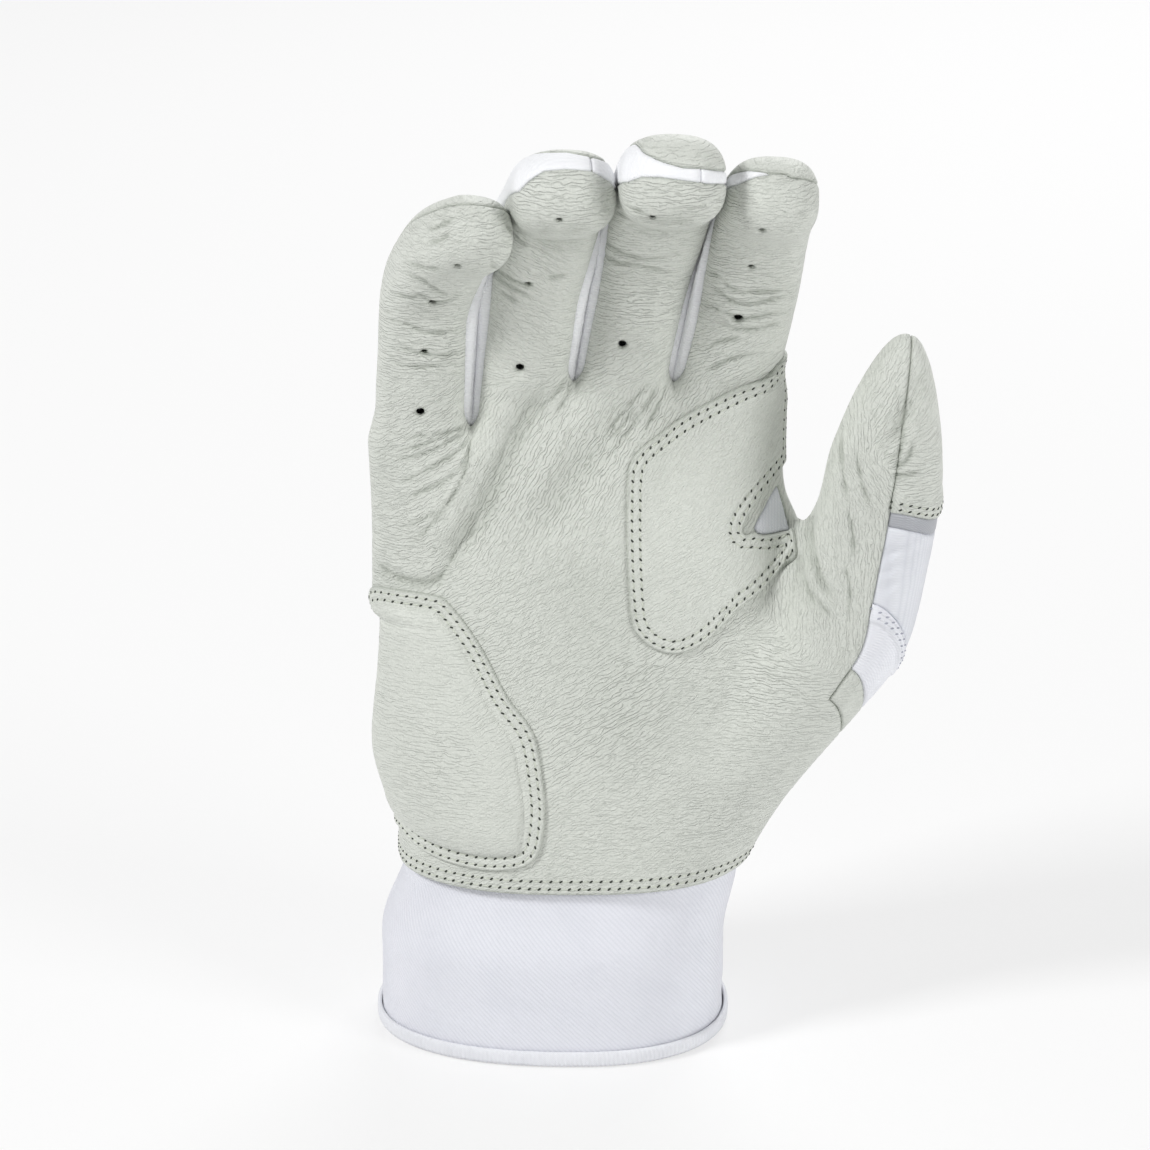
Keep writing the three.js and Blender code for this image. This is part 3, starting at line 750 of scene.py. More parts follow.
class Cutter:
    """Cuts triangles along level lines, keeping a table of values at each corner."""

    near = 0.22

    def __init__(self, table: Array, triangles: Array) -> None:
        """Starts with one uncut sheet.

        Args:
            table: A row of values for each corner.
            triangles: Three corners to a row.
        """
        self.table = table
        self.triangles = triangles
        self.label = np.zeros(len(triangles), int)
        self.fixed = np.zeros(len(table), bool)

    def cut(self, column: int, level: float, among: Array, name: int | None) -> None:
        """Cuts along one level line.

        Args:
            column: The column of the table that is followed.
            level: The value on the line.
            among: Which labels are cut.
            name: The label for what lies above the level, or None to leave the labels.
        """
        mask = np.isin(self.label, among)
        part = self.triangles[mask]
        if not len(part):
            return
        f = self.table[:, column] - level
        a, b = np.unique(np.sort(sides_of(part), axis=1), axis=0).T
        crossing = f[a] * f[b] < 0
        a, b = a[crossing], b[crossing]
        t = f[a] / (f[a] - f[b])
        self._snap(f, np.concatenate([a, b]), np.concatenate([b, a]), np.concatenate([t, 1 - t]))
        crossing = f[a] * f[b] < 0
        a, b = a[crossing], b[crossing]
        t = (f[a] / (f[a] - f[b]))[:, None]
        size = len(self.table)
        self.table = np.vstack([self.table, mix(self.table[a], self.table[b], t)])
        f = np.concatenate([f, np.zeros(len(a))])
        self.fixed = np.concatenate([self.fixed, np.ones(len(a), bool)])
        keys = edge_keys(a, b, size)
        order = np.argsort(keys)

        def between(p: Array, q: Array) -> Array:
            """The new corner on each crossed edge."""
            return size + order[np.searchsorted(keys[order], edge_keys(p, q, size))]

        sign = np.sign(f[part]).astype(int)
        mixed = (sign.max(1) > 0) & (sign.min(1) < 0)
        zero = mixed & (sign == 0).any(1)
        clean = mixed & ~zero
        out = [part[~mixed]]
        kept = self.label[mask]
        labels = [kept[~mixed]]
        if zero.any():
            tri = self._turn(part[zero], (sign[zero] == 0).argmax(1))
            m = between(tri[:, 1], tri[:, 2])
            out += [np.stack([tri[:, 0], tri[:, 1], m], 1), np.stack([tri[:, 0], m, tri[:, 2]], 1)]
            labels += [kept[zero]] * 2
        if clean.any():
            odd = sign[clean] == -np.sign(sign[clean].sum(1))[:, None]
            tri = self._turn(part[clean], odd.argmax(1))
            m, n = between(tri[:, 0], tri[:, 1]), between(tri[:, 0], tri[:, 2])
            a, b, c = tri.T
            out += [np.stack(corners, 1) for corners in ((a, m, n), (m, b, c), (m, c, n))]
            labels += [kept[clean]] * 3
        fresh, marks = np.vstack(out), np.concatenate(labels)
        if name is not None:
            marks = np.where(f[fresh].max(1) > 0, name, marks)
        self.triangles = np.vstack([self.triangles[~mask], fresh])
        self.label = np.concatenate([self.label[~mask], marks])

    def _snap(self, f: Array, near: Array, far: Array, t: Array) -> None:
        """Moves corners that almost touch the line onto it.

        Args:
            f: The values that the line is level in, which are set to 0 at the moved corners.
            near: The corner at one end of each crossed edge.
            far: The corner at its other end.
            t: The share of the edge at which the line crosses it, from the near end.
        """
        close = t < self.near
        near, far, t = near[close], far[close], t[close]
        order = np.argsort(t)[::-1]
        near, far, t = near[order], far[order], t[order]
        chosen = np.full(len(self.table), -1)
        chosen[near] = np.arange(len(near))
        corner = np.flatnonzero(chosen >= 0)
        pick = chosen[corner]
        free = ~self.fixed[corner]
        rows, ids = corner[free], pick[free]
        self.table[rows] = mix(self.table[rows], self.table[far[ids]], t[ids][:, None])
        f[corner] = 0.0
        self.fixed[corner] = True

    @staticmethod
    def _turn(triangles: Array, first: Array) -> Array:
        """Turns each triangle so that the given corner comes first."""
        rows = np.arange(len(triangles))[:, None]
        return triangles[rows, (first[:, None] + np.arange(3)) % 3]

    def sheet(self, *names: int) -> "Sheet":
        """The part of the sheet that carries any of these labels."""
        return Sheet(self.table, self.triangles[np.isin(self.label, names)]).packed()


@dataclass
class Sheet:
    """A cut panel before it has a thickness: a table of values for each corner, and triangles."""

    table: Array
    triangles: Array

    def packed(self) -> "Sheet":
        """The sheet without the corners that no triangle uses."""
        used, triangles = np.unique(self.triangles, return_inverse=True)
        return Sheet(self.table[used], triangles.reshape(-1, 3))

    def rim(self) -> Array:
        """The open edges, each with the panel to its left.

        Returns:
            Two corners for each edge.
        """
        edges = sides_of(self.triangles)
        keys = edge_keys(*edges.T, len(self.table))
        _, first, count = np.unique(keys, return_index=True, return_counts=True)
        return edges[first[count == 1]]

    def largest(self) -> "Sheet":
        """The sheet without loose scraps.

        Returns:
            The largest part that hangs together.
        """
        group = np.arange(len(self.table))
        t = self.triangles
        while True:
            low = group[t].min(1)
            before = group.copy()
            for k in range(3):
                np.minimum.at(group, t[:, k], low)
            group = group[group]
            if (group == before).all():
                break
        names, count = np.unique(group[t[:, 0]], return_counts=True)
        return Sheet(self.table, t[group[t[:, 0]] == names[count.argmax()]]).packed()


class Part(Enum):
    """The panels that the glove's skin is cut into."""

    PALM_LEATHER = 0
    LITTLE_RING_FORK = 1
    RING_MIDDLE_FORK = 2
    MIDDLE_INDEX_FORK = 3
    LITTLE_BACK = 4
    RING_BACK = 5
    MIDDLE_BACK = 6
    INDEX_BACK = 7
    KNUCKLE_BAND = 8
    THUMB_TAB = 9
    THUMB_BASE_PANEL = 10
    THUMB_STRETCH_PANEL = 11
    THUMB_STRIPE = 12
    THUMB_CAP = 13
    BACK_PANEL = 14
    WEB_GUSSET = 15
    WRIST_SLIT = 16


FORKS = (Part.LITTLE_RING_FORK, Part.RING_MIDDLE_FORK, Part.MIDDLE_INDEX_FORK)
BACKS = (Part.LITTLE_BACK, Part.RING_BACK, Part.MIDDLE_BACK, Part.INDEX_BACK)
THUMB_PARTS = (
    Part.THUMB_TAB, Part.THUMB_BASE_PANEL, Part.THUMB_STRETCH_PANEL, Part.THUMB_STRIPE, Part.THUMB_CAP,
)


@dataclass(frozen=True)
class Lens:
    """The photograph's camera: its distance, the angle it looks down at, and the width that it takes in."""

    distance: float = 1250.0
    elevation: float = 20.0
    target: float = 110.0
    width: float = 264.5
    sensor: float = 36.0

    def axes(self) -> tuple[Array, Array, Array]:
        """The camera's place, the way it looks and its up.

        Returns:
            Three vectors.
        """
        e = math.radians(self.elevation)
        look = np.array((0.0, math.cos(e), -math.sin(e)))
        up = np.array((0.0, math.sin(e), math.cos(e)))
        return np.array((0.0, 0.0, self.target)) - look * self.distance, look, up

    def flat(self, points: Array) -> Array:
        """Where points show in the picture, in millimetres from its centre.

        Args:
            points: The places.

        Returns:
            Across and up, one row for each place.
        """
        place, look, up = self.axes()
        away = points - place
        depth = away @ look
        return np.stack([away[:, 0], away @ up], axis=1) * (self.distance / depth)[:, None]

    def build(self) -> None:
        """Makes the scene's camera."""
        place, look, _ = self.axes()
        camera = bpy.data.objects.new("camera", bpy.data.cameras.new("camera"))
        camera.data.sensor_width = self.sensor
        camera.data.lens = self.sensor * self.distance / self.width
        camera.data.clip_start, camera.data.clip_end = 0.05, 10.0
        camera.location = to_frame(place)
        camera.rotation_mode = "QUATERNION"
        camera.rotation_quaternion = Vector(look).to_track_quat("-Z", "Y")
        bpy.context.scene.collection.objects.link(camera)
        bpy.context.scene.camera = camera


def to_frame(points: Array) -> Array:
    """Millimetres in the hand's frame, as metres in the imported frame."""
    return (np.asarray(points, float) + HAND_TO_FRAME) * MM


def new_object(name: str, points: Array, faces: Array | list, material: Material) -> Object:
    """Makes a smooth-shaded mesh object from places in the hand's frame.

    Args:
        name: The piece's name.
        points: Places in millimetres.
        faces: Corners of each face, all of one length or a list of lists.
        material: Its finish.

    Returns:
        The linked object.
    """
    mesh = bpy.data.meshes.new(name)
    if isinstance(faces, np.ndarray):
        mesh.vertices.add(len(points))
        mesh.vertices.foreach_set("co", to_frame(points).astype(np.float32).ravel())
        mesh.loops.add(faces.size)
        mesh.loops.foreach_set("vertex_index", faces.astype(np.int32).ravel())
        mesh.polygons.add(len(faces))
        mesh.polygons.foreach_set("loop_start", np.arange(0, faces.size, faces.shape[1], dtype=np.int32))
        mesh.update(calc_edges=True)
        mesh.validate()
    else:
        mesh.from_pydata(to_frame(points).tolist(), [], faces)
    mesh.polygons.foreach_set("use_smooth", np.ones(len(mesh.polygons), bool))
    mesh.set_sharp_from_angle(angle=math.radians(SHARP))
    mesh.materials.append(material)
    piece = bpy.data.objects.new(name, mesh)
    bpy.context.scene.collection.objects.link(piece)
    return piece


def set_values(piece: Object, name: str, values: Array) -> None:
    """Keeps a value or a vector for each corner of a piece, for its finish to read.

    Args:
        piece: The piece.
        name: The name by which the finish asks for it.
        values: A number or a vector for each corner.
    """
    kind, key = ("FLOAT", "value") if values.ndim == 1 else ("FLOAT_VECTOR", "vector")
    layer = piece.data.attributes.new(name, kind, "POINT")
    layer.data.foreach_set(key, values.astype(np.float32).ravel())


class Columns:
    """The columns of a cut sheet's table."""

    place = slice(0, 3)
    normal = slice(3, 6)
    rise = 6
    # Shade painted into creases and folds.
    crease = 7
    ways = slice(8, 14)
    finger_along = 14
    finger_back = 15
    thumb_along = 16
    thumb_across = 17
    grip = 18
    heel = 19
    fill = 20
    vents = 21
    hem = 22
    seams = 23


@dataclass(frozen=True)
class Pattern:
    """The glove's cut: where its seams run, in millimetres and shares of the digits."""

    seam: float = 0.3
    strip_low: float = -5.4
    strip_tip_low: float = -1.8
    strip_high: float = 4.8
    narrowing_from: float = 0.56
    narrowing_over: float = 0.24
    tip_join: float = 5.1
    index_join: float = 1.4
    little_strip_end: float = 0.93
    tip_from: float = 0.74
    tip_over: float = 0.16
    tip_lows: tuple[tuple[Point, ...], ...] = (
        ((-11, 0), (-8.9, 2.3), (-5.8, 4.5), (-0.8, 5), (5, 4.6), (9.6, 2.3), (11, 0.8)),
        ((-10.7, -0.4), (-7.9, 0.6), (-4, 0.5), (1.2, -0.2), (6.6, -0.8), (10, -0.7)),
        ((-8.7, 1.9), (-4.6, 3.3), (1.4, 4), (5.9, 1), (7.8, -1.5)),
    )
    tip_highs: tuple[tuple[Point, ...], ...] = (
        ((-11, 8.8), (-6.5, 8.9), (0, 9), (4.4, 8.1), (9.4, 7), (11, 5.5)),
        ((-11, 9), (-8.5, 8.2), (-7.2, 5.9), (-4, 4.1), (1.1, 2.6), (5.2, 2.5), (9.1, 2.1)),
        ((-9, 5), (-6.2, 5), (-1.3, 3.9), (1.4, 4), (3, 3)),
    )
    finger_back_rise: float = 3.0
    knuckle_line: float = 118.0
    thumb_seam: float = 0.8
    thumb_marks: tuple[float, ...] = (0.345, 0.412, 0.543, 0.691, 0.721)
    thumb_slopes: tuple[float, ...] = (0.0005, 0.0005, 0.0006, 0.0002, 0.0002)
    slit_headings: tuple[float, float] = (98.0, 120.0)
    slit_rise: float = 20.0
    slit_width: float = 4.0
    web_marks: tuple[Point, ...] = (
        (0.95, 0.715), (1, 0.75), (1.08, 0.79), (1.2, 0.8), (1.28, 0.76), (1.28, 0.71), (1.15, 0.7), (1, 0.7),
    )
    web_right: float = 47.6
    patch_marks: tuple[Point, ...] = (
        (1.2, 1.08), (1.02, 1.03), (0.87, 1.01), (0.66, 0.968), (0.45, 0.912), (0.343, 0.883), (0.29, 0.853),
        (0.274, 0.813), (0.274, 0.68), (0.295, 0.549), (0.34, 0.512), (0.42, 0.488), (0.527, 0.477),
        (0.63, 0.486), (0.735, 0.51), (0.868, 0.56), (0.972, 0.586), (1.088, 0.626), (1.17, 0.66),
        (1.16, 0.7), (0.975, 0.709), (0.893, 0.707), (0.893, 0.731), (0.972, 0.778), (1.077, 0.822),
        (1.2, 0.87),
    )
    patch_depth: float = -1.8
    heel_marks: tuple[Point, ...] = (
        (0.03, 0.1), (0.02, 0.3), (0.02, 0.5), (0.04, 0.61), (0.22, 0.645), (0.5, 0.645), (0.6, 0.62),
        (0.72, 0.54), (0.82, 0.42), (0.9, 0.335), (0.925, 0.24), (0.925, 0.14), (0.885, 0.07), (0.74, 0.05),
        (0.46, 0.06), (0.2, 0.085),
    )
    heel_quarter: float = 58.0
    slit: float = -0.5
    roll: float = 4.4
    roll_over: float = 3.4
    roll_power: float = 2.4
    roll_back_from: float = 1.5
    roll_back_over: float = 3.0
    roll_tip_from: float = 0.74
    roll_tip_over: float = 0.12
    roll_gap_from: float = 7.5
    roll_gap_over: float = 4.0
    fork_depth: float = 16.0
    thumb_side: float = 0.6
    thumb_reach: float = 14.0
    web_right_lean: float = 0.28
    web_right_at: float = 17.3
    vents_face: float = 0.2
    vents: tuple[tuple[float, ...], ...] = (
        (-35.6, 37.3, 1.05, 0.85), (-12.7, 47.6, 1.05, 0.85), (10.8, 52.9, 1.05, 0.85),
        (37.5, 58.9, 1.05, 0.85), (-34.7, 51.3, 0.8, 0.42), (-32.9, 62.3, 0.8, 0.42),
        (-27.1, 70.8, 0.8, 0.42), (-10.8, 66.9, 0.8, 0.42), (-6.9, 78.2, 0.8, 0.42), (-3.7, 81.4, 0.8, 0.42),
        (17.7, 81.7, 0.8, 0.42), (40.5, 70.6, 0.8, 0.42), (43, 79.1, 0.8, 0.42),
    )

    @property
    def side_seam(self) -> float:
        """How far back the palm's leather reaches on the hand's sides."""
        return 1.0 + self.strip_high + self.seam


class Survey:
    """What is measured at the skin's corners before it is cut: coordinates on the digits, and seams."""

    def __init__(self, form: HandForm, skin: Skin, pattern: Pattern, lens: Lens) -> None:
        """Measures each corner.

        Args:
            form: The measured hand.
            skin: The hand's skin.
            pattern: The glove's cut.
            lens: The photograph's camera.
        """
        self.form, self.pattern = form, pattern
        self.points = skin.points
        slope = form.gradient(skin.points, skin.owner)
        self.normals = slope / np.maximum(np.linalg.norm(slope, axis=1, keepdims=True), 1e-6)
        size = len(self.points)
        self.share, self.heading, _ = form.hand.palm(self.points)
        self.s, self.u, self.v = (np.zeros((5, size)) for _ in range(3))
        gap = np.full((5, size), FAR)
        for i, bones in enumerate(form.bones):
            self.s[i], self.u[i], self.v[i], gap[i] = bones.locate(self.points)
        others = (skin.owner[None] >= 0) & (skin.owner[None] != np.arange(5)[:, None])
        self.gap = np.where(others, FAR * 2, gap)
        self.finger = self.gap[:4].argmin(0)
        rows = np.arange(size)
        self.finger_length = np.array([digit.length for digit in form.hand.digits[:4]])[self.finger]
        self.fs, self.fu, self.fv = (way[self.finger, rows] for way in (self.s, self.u, self.v))
        self.flat = lens.flat(self.points)
        self.facing = -self.normals @ lens.axes()[1]
        beside = np.clip(self.finger + np.where(self.fu > 0, 1, -1), 0, 3)
        self.apart = gap[beside, rows]

    def seams(self) -> list[tuple[Part, Array]]:
        """The field of each panel in the order of cutting: positive inside it, in millimetres.

        Returns:
            Each panel with its values at the corners.
        """
        p, hand = self.pattern, self.form.hand
        fingers = hand.digits[:4]
        found: list[tuple[Part, Array]] = []
        share = self.fs / self.finger_length
        low = mix(p.strip_low, p.strip_tip_low, ease((share - p.narrowing_from) / p.narrowing_over))
        high = np.full(len(low), p.strip_high + p.seam / 2)
        tip = ease((share - p.tip_from) / p.tip_over)
        for finger, (lows, highs) in enumerate(zip(p.tip_lows, p.tip_highs), 1):
            mine = self.finger == finger
            low[mine] = mix(low[mine], np.interp(self.fu[mine], *zip(*lows)), tip[mine])
            high[mine] = mix(high[mine], np.interp(self.fu[mine], *zip(*highs)), tip[mine])
        band = np.minimum(self.fv - low, high - self.fv)
        for left, part in enumerate(FORKS):
            reach = np.full(len(self.points), -FAR)
            for finger, side in ((left, 1), (left + 1, -1)):
                inner = side * (self.fu - (0.0, p.tip_join, p.tip_join, p.index_join)[finger])
                if finger == 0:
                    inner = np.minimum(inner, p.little_strip_end * fingers[0].length - self.fs)
                above = self.points[:, 2] - hand.crotch(self.points[:, 0]) + p.fork_depth
                mine = self.finger == finger
                reach[mine] = np.minimum(np.minimum(band, inner), above)[mine]
            found.append((part, reach))
        for i, part in enumerate(BACKS):
            root = fingers[i].root
            start = float(hand.crotch(np.array(root[0]))) + p.finger_back_rise - root[2]
            inner = np.minimum(self.fs - start, self.fv - high)
            found.append((part, np.where(self.finger == i, inner, -FAR)))
        y, z = self.points[:, 1], self.points[:, 2]
        t, thumb = 4, hand.thumb
        marks = [mark * thumb.length for mark in p.thumb_marks]
        on_back = np.minimum(self.v[t] - p.thumb_seam, thumb.width / 2 + p.thumb_side - np.abs(self.u[t]))
        on_back = np.minimum(on_back, p.thumb_reach - self.gap[t])
        for part, start, slope in zip(THUMB_PARTS, marks, p.thumb_slopes):
            line = start - slope * thumb.length * np.maximum(self.v[t], 0) ** 2
            found.append((part, np.minimum(on_back, self.s[t] - line)))
        found.append((Part.KNUCKLE_BAND, np.minimum(y - p.side_seam, z - p.knuckle_line)))
        found.append((Part.BACK_PANEL, y - p.side_seam))
        right = hand.reaches(np.zeros(1))[1]
        heading = math.radians(sum(p.slit_headings) / 2)
        middle = -float(right[0]) * abs(math.cos(heading)) ** (2 / hand.squareness)
        across = p.slit_width / 2 - np.abs(self.points[:, 0] - middle)
        found.append((Part.WRIST_SLIT, np.where(y > 0, np.minimum(across, hand.hem + p.slit_rise - z), -FAR)))
        found.append((Part.WEB_GUSSET, self.web()))
        return found

    def fill(self) -> Array:
        """How far a fork's fabric rolls out into the gap between two fingers.

        Returns:
            One height for each corner.
        """
        p = self.pattern
        near = np.clip((self.fv - p.strip_low) / p.roll_over, 0, 1)
        roll = (1 - (1 - near) ** p.roll_power) * (1 - ease((self.fv - p.roll_back_from) / p.roll_back_over))
        roll *= 1 - ease((self.fs / self.finger_length - p.roll_tip_from) / p.roll_tip_over)
        wide = 1 - ease((self.apart - p.roll_gap_from) / p.roll_gap_over)
        return roll * np.clip((self.apart - p.slit) / 2, 0, p.roll) * wide

    def vents(self) -> Array:
        """The field of the punched vents in the fingers.

        Returns:
            One value for each corner, positive inside a vent.
        """
        vents = np.array(self.pattern.vents)
        far = np.min([np.hypot(*((self.flat - vent[:2]) / vent[2:]).T) for vent in vents], axis=0)
        return np.where(self.facing > self.pattern.vents_face, 1 - far, -FAR)

    def web(self) -> Array:
        """The field of the gusset between the thumb and the first finger.

        Returns:
            One value for each corner.
        """
        p = self.pattern
        right = p.web_right - self.flat[:, 0] - p.web_right_lean * (self.flat[:, 1] - p.web_right_at)
        inside = np.minimum(self.on_palm(p.web_marks), right)
        return np.minimum(inside, p.side_seam - 2 * p.seam - self.points[:, 1])

    def on_palm(self, marks: Sequence[Point]) -> Array:
        """Distance inside an outline given in shares of the palm's breadth and height.

        Args:
            marks: The outline's corners.

        Returns:
            One distance for each corner, negative outside.
        """
        hand = self.form.hand
        outline = [(a * hand.reach_right, hand.hem + b * hand.palm_height) for a, b in marks]
        return outline_distance(self.points[:, [0, 2]], smooth_path(outline, closed=True))

    def grip(self) -> Array:
        """The field of the grip patch below the first finger.

        Returns:
            One value for each corner, positive inside.
        """
        p = self.pattern
        front = self.form.hand.finger_y + p.patch_depth - self.points[:, 1]
        return np.minimum(self.on_palm(p.patch_marks), front)

    def heel(self) -> Array:
        """The field of the heel patch.

        Returns:
            One value for each corner, positive inside.
        """
        p, hand, quarter = self.pattern, self.form.hand, math.pi / 2
        a = (self.heading + math.pi) / quarter
        a = np.where(self.heading > quarter, (self.heading - math.pi) / quarter, a)
        scale = np.array((p.heel_quarter, hand.palm_height))
        marks = smooth_path([tuple(np.array(mark) * scale) for mark in p.heel_marks], closed=True)
        return outline_distance(np.stack([a, self.share], axis=1) * scale, marks)


def add_node(
    tree: bpy.types.NodeTree, kind: str, settings: dict[str, object] | None = None,
    inputs: dict[str | int, object] | None = None,
) -> bpy.types.Node:
    """Adds one node with its settings and links.

    Args:
        tree: The tree that it joins.
        kind: Its type.
        settings: Its own properties.
        inputs: A value or another node's socket for each input, by name or number.

    Returns:
        The node.
    """
    node = tree.nodes.new(kind)
    for key, value in (settings or {}).items():
        setattr(node, key, value)
    for key, value in (inputs or {}).items():
        if isinstance(value, Socket):
            tree.links.new(value, node.inputs[key])
        else:
            node.inputs[key].default_value = value
    return node


def linear(code: str) -> tuple[float, float, float, float]:
    """An sRGB hex colour as linear light.

    Args:
        code: Six hex digits after a #.

    Returns:
        Red, green, blue and an alpha of 1.
    """
    parts = (int(code[i : i + 2], 16) / 255 for i in (1, 3, 5))
    return (*(c / 12.92 if c <= 0.04045 else ((c + 0.055) / 1.055) ** 2.4 for c in parts), 1.0)


class Surface:
    """A material under way: its tree, its shader and the heights that will become its bump."""

    def __init__(self, name: str, roughness: float, specular: float = 0.5, **shader: object) -> None:
        """Starts a material with one principled shader.

        Args:
            name: The material's name.
            roughness: Its roughness.
            specular: Its specular level.
            **shader: More constants for the shader, by socket name with _ for a space.
        """
        self.material = bpy.data.materials.new(name)
        self.material.use_nodes = True
        self.tree = self.material.node_tree
        self.tree.nodes.clear()
        inputs = {"Roughness": roughness, "Specular IOR Level": specular}
        inputs |= {key.replace("_", " "): value for key, value in shader.items()}
        self.shader = self.add("ShaderNodeBsdfPrincipled", inputs=inputs)
        self.add("ShaderNodeOutputMaterial", inputs={"Surface": self.shader.outputs[0]})
        self.place = self.add("ShaderNodeTexCoord").outputs["Object"]

    def add(self, kind: str, settings: dict | None = None, inputs: dict | None = None) -> bpy.types.Node:
        """Adds a node to this material."""
        return add_node(self.tree, kind, settings, inputs)

    def math(self, operation: str, *values: object, clamp: bool = False) -> Socket:
        """The result of a sum on sockets and numbers."""
        settings = {"operation": operation, "use_clamp": clamp}
        return self.add("ShaderNodeMath", settings, dict(enumerate(values))).outputs[0]

    def ramp(
        self, value: object, low: float, high: float, to_low: float = 0.0, to_high: float = 1.0
    ) -> Socket:
        """A value carried from one range to another, held at both ends."""
        inputs = {"Value": value, "From Min": low, "From Max": high, "To Min": to_low, "To Max": to_high}
        return self.add("ShaderNodeMapRange", {"interpolation_type": "SMOOTHSTEP"}, inputs).outputs[0]

    def blend(self, share: object, first: object, second: object) -> Socket:
        """Two colours blended by a share."""
        inputs = {0: share, 6: first, 7: second}
        return self.add("ShaderNodeMix", {"data_type": "RGBA"}, inputs).outputs[2]

    def value(self, name: str) -> Socket:
        """A value kept on the piece's corners."""
        return self.add("ShaderNodeAttribute", {"attribute_name": name}).outputs["Fac"]

    def vector(self, name: str) -> Socket:
        """A vector kept on the piece's corners."""
        return self.add("ShaderNodeAttribute", {"attribute_name": name}).outputs["Vector"]

    def stretched(self, source: Socket, sizes: Sequence[float], turn: Sequence[float] = (0, 0, 0)) -> Socket:
        """Coordinates in which one unit is the given size, after a turn in degrees.

        Args:
            source: The coordinates in millimetres.
            sizes: The size of a unit along each axis.
            turn: The turn round each axis.

        Returns:
            The new coordinates.
        """
        turned = {"Vector": source, "Rotation": [math.radians(a) for a in turn]}
        source = self.add("ShaderNodeMapping", None, turned).outputs[0]
        scaled = {"Vector": source, "Scale": [1 / size for size in sizes]}
        return self.add("ShaderNodeMapping", None, scaled).outputs[0]

    def clouds(self, size: float, detail: float = 2.0, rough: float = 0.5) -> Socket:
        """Noise of a size in millimetres.

        Args:
            size: The size of its spots.
            detail: How many finer layers it has.
            rough: How strong the finer ones are.

        Returns:
            The noise, from 0 to 1.
        """
        source = self.stretched(self.place, (size * MM,) * 3)
        inputs = {"Vector": source, "Scale": 1.0, "Detail": detail, "Roughness": rough}
        return self.add("ShaderNodeTexNoise", None, inputs).outputs[0]

    def cells(self, size: float) -> Socket:
        """The distance from the middle of cells of a size in millimetres."""
        inputs = {"Vector": self.stretched(self.place, (size * MM,) * 3), "Scale": 1.0}
        return self.add("ShaderNodeTexVoronoi", None, inputs).outputs["Distance"]

    def bump(self, height: object, depth: float, before: object = None) -> Socket:
        """A normal bent by a height from 0 to 1 that stands for a depth in millimetres.

        Args:
            height: The height.
            depth: What a height of 1 stands for.
            before: The normal that is bent, if any.

        Returns:
            The bent normal.
        """
        inputs = {"Height": height, "Strength": 1.0, "Distance": depth * MM}
        if before is not None:
            inputs["Normal"] = before
        return self.add("ShaderNodeBump", None, inputs).outputs[0]

    def finish(self, colour: object, normal: object = None, roughness: object = None) -> Material:
        """Sets the shader's colour, normal and roughness."""
        for name, value in (("Base Color", colour), ("Normal", normal), ("Roughness", roughness)):
            if isinstance(value, Socket):
                self.tree.links.new(value, self.shader.inputs[name])
            elif value is not None:
                self.shader.inputs[name].default_value = value
        return self.material


